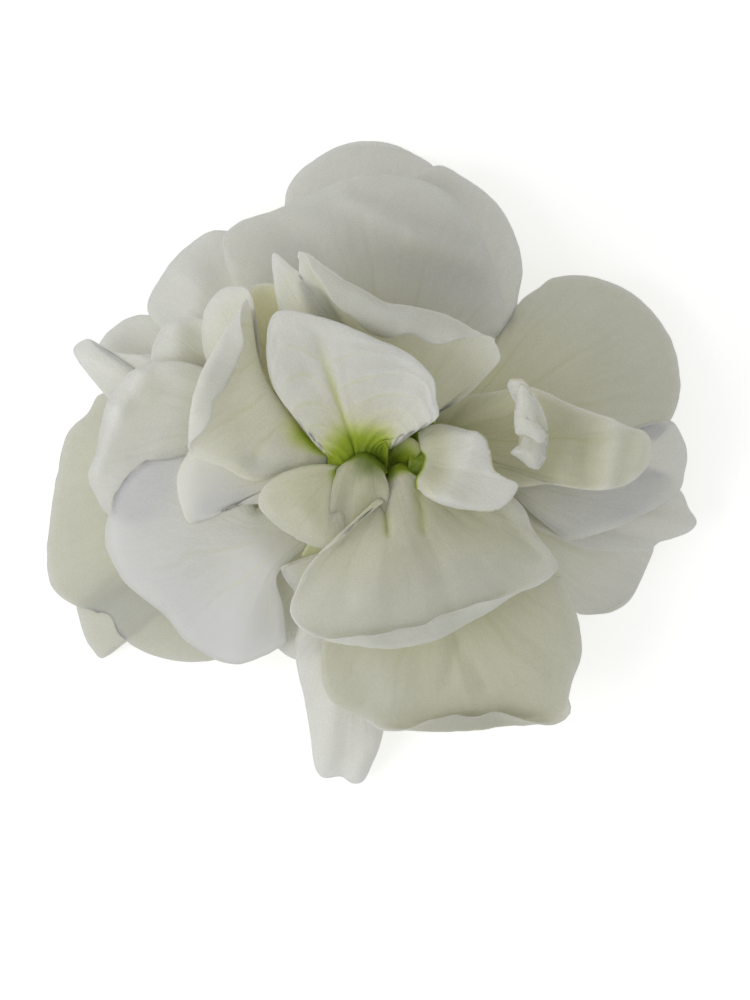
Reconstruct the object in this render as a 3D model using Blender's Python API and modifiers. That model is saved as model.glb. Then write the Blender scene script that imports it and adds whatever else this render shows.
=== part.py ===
"""A double stock blossom, as picked: layered petals on a bundle of claws, in a calyx with a stub of stalk.

Metres, +Z up. The origin is on the surface that the blossom lies on, under the middle of its outline.
The blossom faces up and stands on the tips of three drooping outer petals.
"""
import math
from typing import NamedTuple

import bmesh
import bpy
from mathutils import Vector

# Driving dimensions, in millimetres until MM turns them into metres.
MM = 0.001
BLADE_THICKNESS = 0.65
AXIS = (1.0, 0.1)

# The claw bundle, turned about the axis: its two ends, and the dimple at the throat with its floor and rim.
BUNDLE_TOP = 12.2
BUNDLE_FOOT = 3.3
BUNDLE_FOOT_RADIUS = 1.5
BUNDLE_TOP_RADIUS = 2.4
THROAT_FLOOR = 11.3
THROAT_FLOOR_RADIUS = 1.1
THROAT_RIM_RADIUS = 1.9
THROAT_SHOULDER = 11.7
BUNDLE_SIDES = 16

# The calyx and its stalk. The foot's cone narrows from the calyx to the stalk.
CALYX_FLOOR = 2.95
CALYX_FOOT = 2.2
CALYX_WALL = 0.65
CALYX_RADIUS = 2.9
FOOT_CONE_RADIUS = 2.1
FOOT_CONE_HEIGHT = 1.7
FOOT_BOTTOM = 1.4
POUCH_BULGE = 0.35
POUCH_FALLOFF = 9.0
SEPAL_FLARE = 0.55
SEPAL_FLARE_POWER = 3
SEPAL_TIP_HEIGHT = 10.1
SEPAL_NOTCH_HEIGHT = 6.6
SEPAL_POINTEDNESS = 0.8
CALYX_COLUMNS = 32
CALYX_ROWS = 6
STALK_RADIUS = 0.85
STALK_PATH = ((1.0, 0.1, 2.6), (0.9, -0.6, 1.7), (0.4, -2.6, 1.3), (-0.6, -5.6, 1.3), (-1.4, -7.8, 1.35))
STALK_STEPS = 10
STALK_BEVEL_STEPS = 2

# A blade's rows of faces from root to waist, from waist to fold, and from fold to margin, and its columns.
CLAW_ROWS = 1
BLADE_ROWS = 4
LIP_ROWS = 2
COLUMN_PITCH = 3.6
MIN_COLUMNS = 6

# The share of a blade's length where its last rows start if it has no lip, and of a claw's width at its root.
FREE_BLADE_END = 0.86
ROOT_SHARE = 0.5

# The rolled lips: the power that their ends taper by, and the usual radius and turn in degrees of the roll.
LIP_TAPER = 0.5
LIP_RADIUS = 0.55
LIP_TURN = 165.0

# The block under the surface, in millimetres, and steps too small to see.
SURFACE_BLOCK_SIZE = 80.0
MERGE_DISTANCE = 0.00001
SMALL_STEP = 0.001
TINY = 1e-6


class Lip(NamedTuple):
    """A stretch of margin, between two of its points, that rolls up and back over the blade."""

    first: int
    last: int
    width: float
    radius: float = LIP_RADIUS
    turn: float = LIP_TURN


class Petal(NamedTuple):
    """One petal. Its rays run from root to waist, where the claw ends, and fan out to the margin's points."""

    root: tuple
    waist: tuple
    claw: float
    margin: tuple
    arch: float = 0.0
    lips: tuple = ()


# Petals, each with the plan place and height of its root, its waist and the points of its margin.
PETALS = {
    # The bright upright petal above the throat, its tip pointing right.
    "standard": Petal(
        root=(0.5, 0.5, 10.0),
        waist=(-0.1, 0.3, 13.0),
        claw=2.4,
        margin=(
            (-3.2, 1.2, 13.8), (-5.2, 3.1, 14.8), (-6.8, 5.4, 16.2), (-7.2, 8.2, 17.8),
            (-6.6, 10.3, 18.8), (-4.4, 10.3, 19.0), (-0.7, 9.0, 19.4), (2.6, 7.5, 19.7),
            (4.3, 5.9, 20.0), (4.55, 4.2, 20.2), (4.75, 3.0, 20.4), (3.3, 2.3, 18.6), (1.6, 0.9, 15.2),
        ),
        arch=0.4,
    ),
    # Two small petals in front of the throat, left of its middle, with a narrow slit between them.
    "front_left": Petal(
        root=(0.2, -0.2, 10.2),
        waist=(-1.95, -0.05, 13.2),
        claw=1.2,
        margin=(
            (-3.15, -0.1, 13.8), (-4.9, -0.35, 14.6), (-6.45, -1.05, 15.2), (-7.5, -2.05, 15.6),
            (-7.75, -3.1, 15.6), (-7.0, -4.0, 15.2), (-5.7, -5.0, 14.8), (-4.35, -5.7, 14.6),
            (-3.1, -5.9, 14.4), (-2.75, -4.5, 14.2), (-2.8, -2.4, 13.9),
        ),
        arch=0.4,
        lips=(Lip(4, 8, 1.6),),
    ),
    "front_middle": Petal(
        root=(0.6, -0.3, 10.2),
        waist=(-1.2, 0.0, 13.3),
        claw=1.2,
        margin=(
            (-2.2, -0.55, 13.7), (-2.65, -1.95, 14.2), (-2.8, -4.05, 14.6), (-2.5, -5.6, 14.5),
            (-1.0, -5.5, 14.2), (0.5, -4.9, 14.4), (1.25, -3.7, 14.9), (1.45, -2.45, 15.4),
            (1.1, -1.25, 15.5), (0.4, -0.2, 15.3), (-0.35, 0.4, 15.0), (-1.2, 0.3, 14.2),
        ),
        arch=0.3,
    ),
    # The broad front petal, with an ear beside its claw and a long rolled lip along its far margin.
    "front_broad": Petal(
        root=(2.4, 0.9, 10.6),
        waist=(2.3, -4.4, 14.8),
        claw=2.2,
        margin=(
            (1.0, -4.35, 15.2), (0.05, -3.3, 16.4), (-1.05, -3.9, 16.5), (-2.45, -5.05, 16.3),
            (-3.65, -6.15, 16.0), (-4.5, -7.55, 15.6), (-5.05, -8.8, 15.2), (-5.55, -10.1, 14.8),
            (-4.9, -11.2, 14.5), (-3.3, -12.2, 14.2), (-1.4, -12.6, 14.0), (0.7, -12.8, 13.8),
            (2.95, -12.7, 13.7), (5.0, -12.1, 13.6), (7.0, -11.0, 13.4), (9.1, -9.7, 13.1),
            (11.2, -8.5, 12.8), (13.1, -7.3, 12.5), (12.6, -6.3, 12.6), (11.4, -4.75, 12.8),
            (10.55, -3.0, 13.0), (8.75, -1.95, 13.2), (5.95, -1.95, 13.6), (4.2, -3.0, 14.2),
        ),
        arch=0.3,
        lips=(Lip(7, 17, 1.3),),
    ),
    # The petal right of the throat, its outer half folded up and bright.
    "folded": Petal(
        root=(2.9, 0.9, 10.4),
        waist=(4.1, 1.7, 14.2),
        claw=1.4,
        margin=(
            (3.85, 1.1, 15.0), (4.15, 0.3, 15.6), (3.9, -0.5, 16.0), (3.35, -1.75, 16.4),
            (3.7, -2.3, 16.8), (4.6, -2.7, 17.0), (6.3, -3.2, 17.2), (8.4, -3.4, 17.2), (9.3, -3.0, 17.2),
            (9.95, -2.1, 17.3), (10.2, -1.7, 17.4), (9.4, -1.1, 17.6), (8.7, -0.3, 17.8), (8.35, 0.8, 18.0),
            (8.1, 1.6, 18.2), (7.55, 2.1, 18.4), (6.4, 2.0, 17.6), (5.4, 2.75, 16.8), (4.4, 2.8, 15.8),
        ),
        arch=0.5,
    ),
    # The curled petal further right, its far side rolled in, and the scroll on its near side.
    "curled": Petal(
        root=(3.0, 0.8, 10.6),
        waist=(5.2, 2.0, 12.9),
        claw=1.6,
        margin=(
            (6.3, 3.4, 13.2), (7.8, 3.8, 13.5), (9.45, 4.3, 14.4), (10.5, 5.6, 15.8),
            (12.25, 5.1, 15.8), (14.35, 4.0, 15.4), (16.45, 2.8, 15.0), (18.0, 2.4, 15.0),
            (19.0, 1.6, 14.8), (19.2, 0.5, 14.5), (18.8, -0.9, 14.0), (17.4, -1.6, 13.6),
            (15.4, -1.75, 13.2), (12.9, -1.45, 12.9), (10.5, -1.6, 12.7), (8.4, -1.3, 12.7),
            (5.95, 0.2, 12.8),
        ),
        lips=(Lip(6, 12, 2.2, 0.7),),
    ),
    "scroll": Petal(
        root=(11.2, 1.4, 12.6),
        waist=(11.6, 0.6, 14.6),
        claw=1.2,
        margin=(
            (10.5, 0.0, 15.6), (9.8, 0.65, 16.6), (10.05, 1.55, 17.2), (10.0, 3.3, 17.9),
            (9.75, 4.85, 18.2), (9.9, 5.6, 18.3), (10.6, 5.6, 18.4), (11.4, 4.9, 18.2),
            (11.95, 3.8, 17.8), (12.3, 2.25, 17.2), (12.35, 1.05, 16.4),
        ),
        arch=0.5,
    ),
    # The upright petal behind the bright one, its top rolled over in a band, and the narrow tip left of it.
    "banded": Petal(
        root=(1.5, 1.5, 10.4),
        waist=(2.2, 2.4, 13.2),
        claw=2.0,
        margin=(
            (0.35, 2.95, 13.5), (-2.8, 7.6, 14.2), (-4.7, 11.6, 15.4), (-4.9, 14.0, 17.0),
            (-4.6, 14.6, 17.4), (-3.3, 13.7, 17.9), (-1.9, 12.7, 18.1), (-0.35, 11.9, 18.2),
            (1.05, 11.1, 18.2), (2.45, 10.9, 18.1), (4.55, 10.5, 17.8), (6.3, 9.8, 17.4),
            (7.6, 9.0, 16.9), (8.7, 8.2, 16.3), (9.05, 7.15, 15.8), (8.4, 6.3, 15.3),
            (6.65, 4.55, 14.4), (5.25, 3.8, 13.8), (4.35, 3.1, 13.5),
        ),
        arch=-0.3,
        lips=(Lip(3, 13, 2.3, 0.6),),
    ),
    "narrow_tip": Petal(
        root=(1.1, 1.4, 10.4),
        waist=(-0.7, 4.0, 13.3),
        claw=1.2,
        margin=(
            (-5.6, 7.6, 14.4), (-6.3, 10.5, 15.4), (-6.65, 12.4, 16.2), (-6.7, 14.5, 17.0),
            (-5.6, 13.7, 16.7), (-4.2, 12.55, 16.3), (-1.75, 10.8, 15.7), (0.7, 8.9, 15.0), (2.1, 7.0, 14.3),
        ),
    ),
    # The left petal with a rolled band down its outer side, and the pale lobe behind its tip.
    "left_banded": Petal(
        root=(0.1, 0.5, 10.4),
        waist=(-2.8, 0.35, 12.9),
        claw=1.8,
        margin=(
            (-3.6, 0.95, 13.2), (-4.9, 2.1, 13.6), (-6.65, 4.0, 14.4), (-7.55, 5.4, 15.0),
            (-8.1, 7.15, 15.8), (-8.45, 9.25, 16.6), (-8.6, 11.3, 17.0), (-9.5, 10.1, 17.0),
            (-10.5, 8.35, 16.9), (-11.5, 6.6, 16.6), (-12.2, 4.75, 16.2), (-12.5, 3.1, 15.7),
            (-12.6, 1.7, 15.1), (-12.2, 0.5, 14.6), (-11.05, -0.05, 14.1), (-9.95, -0.5, 13.8),
            (-8.9, -1.2, 13.5), (-7.55, -1.35, 13.3), (-5.95, -0.55, 13.1), (-4.2, -0.15, 12.9),
        ),
        lips=(Lip(6, 12, 2.0, 0.6),),
    ),
    "pale_lobe": Petal(
        root=(-0.2, 1.0, 10.8),
        waist=(-7.6, 6.4, 13.2),
        claw=1.0,
        margin=(
            (-8.3, 8.6, 14.0), (-8.6, 11.6, 14.9), (-9.6, 12.0, 14.6), (-10.9, 11.6, 14.0),
            (-11.6, 10.4, 13.4), (-11.7, 8.8, 12.9), (-11.3, 7.0, 12.6), (-9.8, 5.4, 12.6),
        ),
    ),
    # The small pale petal under the left banded one, and the petal in the gap right of the cupped one.
    "small_left": Petal(
        root=(0.0, 0.0, 10.8),
        waist=(-4.9, -0.55, 12.2),
        claw=1.4,
        margin=(
            (-7.55, 0.3, 12.5), (-10.5, 0.8, 12.6), (-12.2, 0.8, 12.6), (-13.0, 0.05, 12.5),
            (-13.45, -1.25, 12.3), (-13.25, -2.85, 12.1), (-12.6, -4.35, 11.9), (-11.05, -3.65, 12.1),
            (-9.4, -2.8, 12.2), (-7.55, -2.5, 12.3), (-5.6, -1.8, 12.2),
        ),
    ),
    "gap_filler": Petal(
        root=(0.6, -1.0, 10.8),
        waist=(-2.2, -5.6, 12.0),
        claw=1.6,
        margin=(
            (-5.0, -5.9, 11.9), (-6.0, -7.0, 11.4), (-6.2, -8.6, 10.8), (-5.9, -10.4, 10.2),
            (-5.0, -12.6, 9.4), (-2.8, -12.4, 10.4), (0.2, -10.4, 11.4), (0.6, -7.4, 12.0),
        ),
    ),
    # The large cupped petal to the left, bulging towards its lower right.
    "cupped": Petal(
        root=(-0.1, -0.6, 10.9),
        waist=(-4.6, -2.6, 11.9),
        claw=2.0,
        margin=(
            (-9.1, -0.2, 11.6), (-12.6, 1.1, 11.2), (-14.35, 0.9, 10.8), (-15.55, 0.2, 10.4),
            (-16.8, -0.85, 9.9), (-17.7, -2.1, 9.4), (-18.25, -3.5, 8.9), (-18.5, -5.1, 8.4),
            (-18.15, -6.7, 7.9), (-17.2, -8.35, 7.4), (-15.75, -9.65, 7.0), (-14.35, -10.8, 6.6),
            (-12.95, -12.45, 6.0), (-11.55, -13.5, 5.6), (-9.45, -14.15, 5.4), (-7.35, -13.5, 5.8),
            (-5.75, -12.55, 6.8), (-6.1, -11.05, 8.2), (-6.35, -9.3, 9.6), (-6.35, -7.7, 10.8),
            (-5.6, -6.15, 11.6),
        ),
        arch=1.2,
    ),
    # The second left petal, also banded, with the small lobe above it.
    "second_left": Petal(
        root=(-0.3, 0.6, 11.0),
        waist=(-7.4, 2.2, 11.8),
        claw=2.2,
        margin=(
            (-11.3, 5.2, 12.2), (-13.3, 6.4, 12.4), (-15.1, 6.5, 12.4), (-16.0, 6.0, 12.2),
            (-17.2, 4.5, 11.9), (-18.3, 2.6, 11.4), (-19.0, 0.7, 10.8), (-19.4, -1.0, 10.0),
            (-18.6, -2.4, 9.3), (-16.5, -3.0, 9.4), (-13.0, -2.6, 10.4),
        ),
        arch=0.3,
        lips=(Lip(2, 7, 1.3),),
    ),
    "upper_left_lobe": Petal(
        root=(-0.3, 0.9, 11.0),
        waist=(-8.8, 4.4, 11.2),
        claw=1.8,
        margin=(
            (-13.0, 6.2, 10.6), (-15.4, 7.15, 10.4), (-15.7, 8.2, 10.3), (-15.05, 9.6, 10.4),
            (-13.65, 10.3, 10.7), (-11.9, 10.1, 11.2), (-10.35, 8.6, 11.6),
        ),
    ),
    # The outer ring, anticlockwise from the pointed petal at the upper left.
    "pointed_left": Petal(
        root=(-0.4, 0.8, 11.2),
        waist=(-8.4, 2.9, 10.9),
        claw=2.0,
        margin=(
            (-15.2, 7.2, 9.0), (-17.15, 7.85, 8.6), (-18.6, 8.1, 8.2), (-19.4, 8.0, 8.0),
            (-19.75, 8.9, 8.4), (-20.35, 8.5, 7.6), (-20.8, 7.85, 7.2), (-20.3, 7.0, 7.0),
            (-19.1, 5.6, 7.2), (-18.0, 4.4, 7.6), (-14.0, 2.0, 9.2),
        ),
        arch=0.8,
    ),
    "arc_left": Petal(
        root=(-0.3, 1.0, 11.3),
        waist=(-7.7, 4.6, 10.4),
        claw=2.0,
        margin=(
            (-13.4, 9.9, 6.6), (-15.9, 10.3, 5.6), (-17.15, 10.0, 5.2), (-18.35, 9.15, 4.8),
            (-19.05, 8.2, 4.7), (-19.2, 6.6, 5.0), (-17.0, 4.6, 6.6),
        ),
        arch=0.8,
    ),
    "left_outer": Petal(
        root=(-0.6, 0.1, 11.3),
        waist=(-8.0, -1.4, 10.9),
        claw=2.6,
        margin=(
            (-16.5, 4.2, 7.6), (-18.4, 4.85, 6.8), (-19.1, 4.6, 6.4), (-19.75, 3.45, 6.0),
            (-20.85, 2.4, 5.4), (-21.55, 1.1, 4.9), (-21.9, -0.7, 4.4), (-22.25, -2.65, 3.8),
            (-22.55, -4.75, 3.2), (-22.7, -6.85, 2.7), (-22.45, -8.55, 2.3), (-21.7, -9.45, 2.1),
            (-20.5, -10.15, 2.0), (-18.9, -10.7, 2.2), (-17.0, -12.6, 2.4), (-15.05, -13.65, 2.8),
            (-12.95, -14.0, 3.4), (-10.5, -13.7, 4.4), (-8.4, -12.0, 6.0), (-7.4, -8.0, 9.0),
        ),
        arch=1.2,
    ),
    "lower_left_tip": Petal(
        root=(-0.4, -0.8, 11.2),
        waist=(-8.4, -5.4, 9.2),
        claw=2.0,
        margin=(
            (-18.6, -7.6, 3.0), (-20.6, -9.8, 1.0), (-20.3, -12.1, 0.2), (-19.4, -13.5, -0.3),
            (-18.9, -13.9, -0.35), (-18.4, -13.2, -0.2), (-16.6, -12.2, 1.0), (-13.0, -11.0, 3.4),
        ),
        arch=0.8,
    ),
    "bottom_narrow": Petal(
        root=(0.7, -1.4, 11.2),
        waist=(-1.6, -9.4, 10.0),
        claw=2.2,
        margin=(
            (-5.0, -11.4, 8.0), (-5.25, -12.8, 7.0), (-5.0, -14.7, 5.8), (-4.6, -16.65, 4.6),
            (-4.2, -19.1, 2.9), (-3.8, -21.6, 1.4), (-3.15, -22.2, 1.1), (-2.1, -22.1, 1.0),
            (-1.25, -22.6, 0.8), (-0.5, -22.5, 0.8), (0.15, -21.15, 1.6), (0.7, -19.45, 2.8),
            (1.2, -17.0, 4.8),
        ),
        arch=0.8,
    ),
    "bottom_broad": Petal(
        root=(1.6, -1.4, 11.2),
        waist=(3.9, -6.6, 12.0),
        claw=2.8,
        margin=(
            (-3.1, -11.8, 9.4), (-3.35, -13.0, 9.0), (-3.45, -14.4, 8.6), (-3.1, -16.1, 8.1),
            (-2.1, -17.2, 7.8), (-0.55, -17.85, 7.6), (1.05, -18.3, 7.5), (2.8, -18.5, 7.4),
            (4.9, -18.6, 7.4), (7.5, -18.5, 7.4), (9.45, -18.2, 7.4), (11.9, -18.0, 7.4),
            (13.6, -17.6, 7.4), (13.9, -16.65, 7.6), (14.2, -15.25, 7.8), (14.7, -13.85, 8.1),
            (14.75, -12.45, 8.5), (14.35, -10.35, 9.2), (13.3, -8.0, 10.2),
        ),
        arch=0.6,
        lips=(Lip(6, 12, 1.8),),
    ),
    "lower_right": Petal(
        root=(2.6, -1.0, 11.3),
        waist=(8.6, -3.6, 11.0),
        claw=2.4,
        margin=(
            (13.0, -9.2, 4.0), (14.6, -10.6, 1.2), (15.95, -10.7, 0.2), (17.15, -10.5, -0.35),
            (18.35, -9.65, -0.3), (19.3, -7.7, 0.6), (19.95, -5.9, 2.0), (19.4, -4.0, 3.8), (16.0, -2.0, 7.0),
        ),
        arch=1.6,
    ),
    "pointed_right": Petal(
        root=(2.8, -0.6, 11.4),
        waist=(9.2, -2.6, 11.4),
        claw=2.2,
        margin=(
            (14.6, -6.0, 7.6), (17.4, -6.3, 5.6), (19.6, -6.1, 4.0), (20.3, -5.6, 3.8),
            (21.35, -5.3, 3.6), (22.4, -4.85, 3.4), (22.9, -4.25, 3.4), (22.4, -3.3, 3.8),
            (21.8, -2.0, 4.6), (20.0, -0.6, 6.4), (15.0, 0.0, 9.2),
        ),
        arch=1.0,
    ),
    "right_middle": Petal(
        root=(3.0, 0.0, 11.4),
        waist=(9.4, -0.8, 11.9),
        claw=2.4,
        margin=(
            (13.6, -5.5, 9.6), (14.9, -5.3, 9.1), (17.4, -4.5, 7.8), (18.9, -3.8, 7.0),
            (20.3, -3.1, 6.2), (21.7, -1.9, 5.6), (22.1, -0.3, 5.4), (22.2, 0.7, 5.4),
            (21.85, 1.9, 5.6), (21.2, 2.85, 5.8), (19.9, 2.7, 6.6), (18.6, 1.8, 7.4), (14.0, 2.0, 10.0),
        ),
        arch=0.8,
    ),
    "upper_right": Petal(
        root=(3.0, 1.2, 11.4),
        waist=(6.8, 3.0, 12.2),
        claw=2.8,
        margin=(
            (17.0, 0.6, 8.2), (20.0, 1.6, 6.2), (21.2, 3.1, 4.8), (21.7, 4.7, 3.9),
            (21.7, 6.45, 3.4), (21.2, 8.4, 3.1), (20.3, 9.95, 3.0), (19.25, 11.15, 3.1),
            (17.85, 12.2, 3.4), (16.25, 12.8, 3.8), (14.5, 13.1, 4.4), (12.8, 12.9, 5.0),
            (11.9, 12.25, 5.6), (10.6, 11.3, 6.6), (9.2, 9.0, 8.8),
        ),
        arch=1.4,
    ),
    "top_right": Petal(
        root=(2.0, 1.8, 11.3),
        waist=(3.0, 6.4, 11.9),
        claw=2.8,
        margin=(
            (10.2, 9.6, 8.4), (10.35, 11.55, 6.6), (10.65, 13.25, 5.6), (10.5, 14.85, 4.9),
            (9.95, 16.4, 4.3), (9.1, 17.9, 3.9), (8.05, 18.95, 3.6), (6.65, 19.95, 3.4),
            (5.45, 20.7, 3.2), (4.6, 20.8, 3.2), (3.0, 19.6, 4.0), (1.4, 17.0, 6.0),
        ),
        arch=1.2,
    ),
    "top_inner": Petal(
        root=(1.0, 1.8, 11.2),
        waist=(0.8, 5.6, 12.5),
        claw=3.0,
        margin=(
            (9.2, 9.2, 10.4), (9.4, 11.0, 9.4), (8.95, 12.75, 8.6), (8.35, 14.7, 7.9),
            (7.3, 16.65, 7.3), (5.6, 18.6, 6.8), (3.5, 19.75, 6.5), (0.7, 20.1, 6.4),
            (-2.1, 19.65, 6.5), (-4.9, 18.4, 6.8), (-7.0, 17.55, 7.1), (-9.1, 16.8, 7.3),
            (-10.3, 15.5, 7.8), (-9.8, 13.0, 9.0), (-8.0, 9.4, 11.0),
        ),
        arch=0.9,
    ),
    "top_outer": Petal(
        root=(0.8, 1.8, 11.2),
        waist=(0.2, 7.0, 11.3),
        claw=2.6,
        margin=(
            (5.4, 18.0, 3.4), (4.6, 20.6, 1.2), (2.95, 21.75, 0.2), (1.4, 22.45, -0.3),
            (-0.3, 22.6, -0.35), (-1.95, 22.35, -0.2), (-3.5, 21.55, 0.4), (-4.9, 20.5, 1.2),
            (-5.75, 19.3, 2.0), (-6.0, 18.05, 2.8), (-6.2, 15.4, 4.6),
        ),
        arch=1.6,
    ),
    "upper_left_back": Petal(
        root=(0.2, 1.6, 11.2),
        waist=(-4.2, 5.8, 12.0),
        claw=2.8,
        margin=(
            (-3.0, 16.0, 7.0), (-4.4, 17.3, 5.6), (-5.95, 17.8, 4.8), (-7.55, 17.0, 4.8),
            (-9.45, 16.2, 4.9), (-11.05, 16.2, 4.9), (-12.25, 15.55, 5.0), (-13.65, 14.3, 5.3),
            (-14.7, 12.8, 5.7), (-15.5, 11.4, 6.1), (-15.5, 10.4, 6.6), (-14.0, 8.4, 8.2),
        ),
        arch=1.0,
    ),
}


class Ray(NamedTuple):
    """One line of a petal from its root to its margin, and the roll of the margin there."""

    line: list
    knots: list
    length: float
    rolled: float
    roll_start: float
    radius: float
    turn: float
    flap: float
    ahead: Vector
    up: Vector


def line_length(points):
    """The length of the line through points."""
    return sum((Vector(b) - Vector(a)).length for a, b in zip(points, points[1:]))


def spread_knots(points):
    """Knots from 0 to 1, spaced by the distance from each point to the next."""
    whole = line_length(points)
    return [line_length(points[:i + 1]) / whole for i in range(len(points))]


def curve_through(points, knots, at):
    """The point at a place, from 0 to 1, on the smooth curve through the points at their knots."""
    last = len(points) - 1
    i = 0
    while i < last - 1 and at > knots[i + 1]:
        i += 1
    span = knots[i + 1] - knots[i]
    t = (at - knots[i]) / span
    slopes = []
    for k in (i, i + 1):
        low, high = max(k - 1, 0), min(k + 1, last)
        slopes.append((points[high] - points[low]) / (knots[high] - knots[low]) * span)
    square, cube = t * t, t * t * t
    return (
        points[i] * (2 * cube - 3 * square + 1)
        + slopes[0] * (cube - 2 * square + t)
        + points[i + 1] * (3 * square - 2 * cube)
        + slopes[1] * (cube - square)
    )


def lip_at(petal, knots, across):
    """The lip at this share of the margin, if any, and how far it is rolled out there, from 0 to 1."""
    for lip in petal.lips:
        start, end = knots[lip.first], knots[lip.last]
        if start < across < end:
            return lip, math.sin(math.pi * (across - start) / (end - start)) ** LIP_TAPER
    return None, 0.0


def ray_at(petal, margin, knots, across):
    """The ray that reaches this share of the margin."""
    edge = curve_through(margin, knots, across)
    side = ((margin[0] - margin[-1]) * Vector((1, 1, 0))).normalized() * petal.claw * (0.5 - across)
    root = Vector(petal.root) + side * ROOT_SHARE
    waist = Vector(petal.waist) + side
    middle = (waist + edge) / 2 + Vector((0, 0, petal.arch))
    line = [root, waist, middle, edge]
    ray_knots = spread_knots(line)

    low, high = max(across - SMALL_STEP, 0.0), min(across + SMALL_STEP, 1.0)
    rim = (curve_through(margin, knots, high) - curve_through(margin, knots, low)).normalized()
    ahead = edge - curve_through(line, ray_knots, 1 - SMALL_STEP)
    ahead = (ahead - rim * ahead.dot(rim)).normalized()
    up = ahead.cross(rim)
    if up.z < 0:
        up.negate()

    length = line_length(line)
    lip, rolled = lip_at(petal, knots, across)
    if lip is None:
        return Ray(line, ray_knots, length, 0.0, length, LIP_RADIUS, 0.0, 0.0, ahead, up)
    turn = math.radians(lip.turn) * rolled
    roll_start = length - lip.radius * math.sin(min(turn, math.pi / 2))
    flap = (lip.width - lip.radius) * rolled
    return Ray(line, ray_knots, length, rolled, roll_start, lip.radius, turn, flap, ahead, up)


def rolled_point(ray, start, distance):
    """The point on a lip this far past the roll's start: round the roll, then straight over the blade."""
    angle = min(distance / ray.radius, ray.turn)
    point = start + (ray.ahead * math.sin(angle) + ray.up * (1 - math.cos(angle))) * ray.radius
    flat = max(distance - ray.radius * ray.turn, 0.0)
    return point + (ray.ahead * math.cos(ray.turn) + ray.up * math.sin(ray.turn)) * flat


def ray_point(ray, along):
    """The point of the petal's middle surface at this share, from 0 to 1, of a ray's rows."""
    rows = CLAW_ROWS + BLADE_ROWS + LIP_ROWS
    claw_end, blade_end = CLAW_ROWS / rows, (CLAW_ROWS + BLADE_ROWS) / rows
    waist = ray.knots[1] * ray.length
    fold = waist + (ray.roll_start - waist) * (FREE_BLADE_END + (1 - FREE_BLADE_END) * ray.rolled)
    if along <= claw_end:
        distance = waist * along / claw_end
    elif along <= blade_end:
        distance = waist + (fold - waist) * (along - claw_end) / (blade_end - claw_end)
    else:
        whole = ray.roll_start + ray.radius * ray.turn + ray.flap
        distance = fold + (whole - fold) * (along - blade_end) / (1 - blade_end)
    point = curve_through(ray.line, ray.knots, min(distance, ray.roll_start) / ray.length)
    if distance > ray.roll_start + TINY:
        point = rolled_point(ray, point, distance - ray.roll_start)
    return point


def petal_sheet(petal, rows, columns):
    """The petal's middle surface as a triangulated grid in metres."""
    margin = [Vector(p) for p in petal.margin]
    knots = spread_knots(margin)
    rays = [ray_at(petal, margin, knots, column / columns) for column in range(columns + 1)]
    bm = bmesh.new()
    bmesh.ops.create_grid(bm, x_segments=columns, y_segments=rows, size=0.5)
    for vert in bm.verts:
        column, along = round((vert.co.x + 0.5) * columns), vert.co.y + 0.5
        vert.co = ray_point(rays[column], along) * MM
    bmesh.ops.triangulate(bm, faces=bm.faces[:])
    return bm


def new_object(name, bm, collection):
    """An object made of a finished bmesh."""
    mesh = bpy.data.meshes.new(name)
    bm.to_mesh(mesh)
    bm.free()
    made = bpy.data.objects.new(name, mesh)
    collection.objects.link(made)
    return made


def apply_modifiers(thing):
    """Replaces an object's mesh by its evaluated one."""
    evaluated = thing.evaluated_get(bpy.context.evaluated_depsgraph_get())
    mesh = bpy.data.meshes.new_from_object(evaluated)
    thing.modifiers.clear()
    thing.data = mesh


def petal_solid(name, petal, collection):
    """One petal as a closed blade of even thickness."""
    columns = max(MIN_COLUMNS, round(line_length(petal.margin) / COLUMN_PITCH))
    blade = new_object(name, petal_sheet(petal, CLAW_ROWS + BLADE_ROWS + LIP_ROWS, columns), collection)
    shell = blade.modifiers.new("thickness", "SOLIDIFY")
    shell.thickness = BLADE_THICKNESS * MM
    shell.offset = 0.0
    apply_modifiers(blade)
    return blade


def turned(name, profile, collection):
    """A solid turned about the calyx's axis from (radius, height) points, listed from the top down."""
    mesh = bpy.data.meshes.new(name)
    points = [(radius * MM, 0.0, height * MM) for radius, height in profile]
    mesh.from_pydata(points, [(i, i + 1) for i in range(len(points) - 1)], [])
    made = bpy.data.objects.new(name, mesh)
    made.location = (AXIS[0] * MM, AXIS[1] * MM, 0.0)
    collection.objects.link(made)
    screw = made.modifiers.new("turn", "SCREW")
    screw.steps = screw.render_steps = BUNDLE_SIDES
    screw.use_merge_vertices = True
    screw.merge_threshold = MERGE_DISTANCE
    apply_modifiers(made)
    return made


def drop_back_to_back(bm):
    """Removes faces that lie back to back on the same corners."""
    same_corners = {}
    for face in bm.faces:
        same_corners.setdefault(frozenset(face.verts), []).append(face)
    doubled = [face for faces in same_corners.values() if len(faces) > 1 for face in faces]
    bmesh.ops.delete(bm, geom=doubled, context="FACES")


def keep_outer_skin(thing):
    """Fills sealed hollows and drops loose scraps: of a mesh's separate skins only the largest stays."""
    bm = bmesh.new()
    bm.from_mesh(thing.data)
    bmesh.ops.triangulate(bm, faces=bm.faces[:])
    drop_back_to_back(bm)
    skins, unseen = [], set(bm.faces)
    while unseen:
        skin, front = set(), [unseen.pop()]
        while front:
            face = front.pop()
            skin.add(face)
            near = {other for edge in face.edges if len(edge.link_faces) == 2 for other in edge.link_faces}
            near &= unseen
            unseen -= near
            front.extend(near)
        skins.append(skin)
    skins.sort(key=len)
    bmesh.ops.delete(bm, geom=[face for skin in skins[:-1] for face in skin], context="FACES")
    bm.to_mesh(thing.data)
    bm.free()


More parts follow.
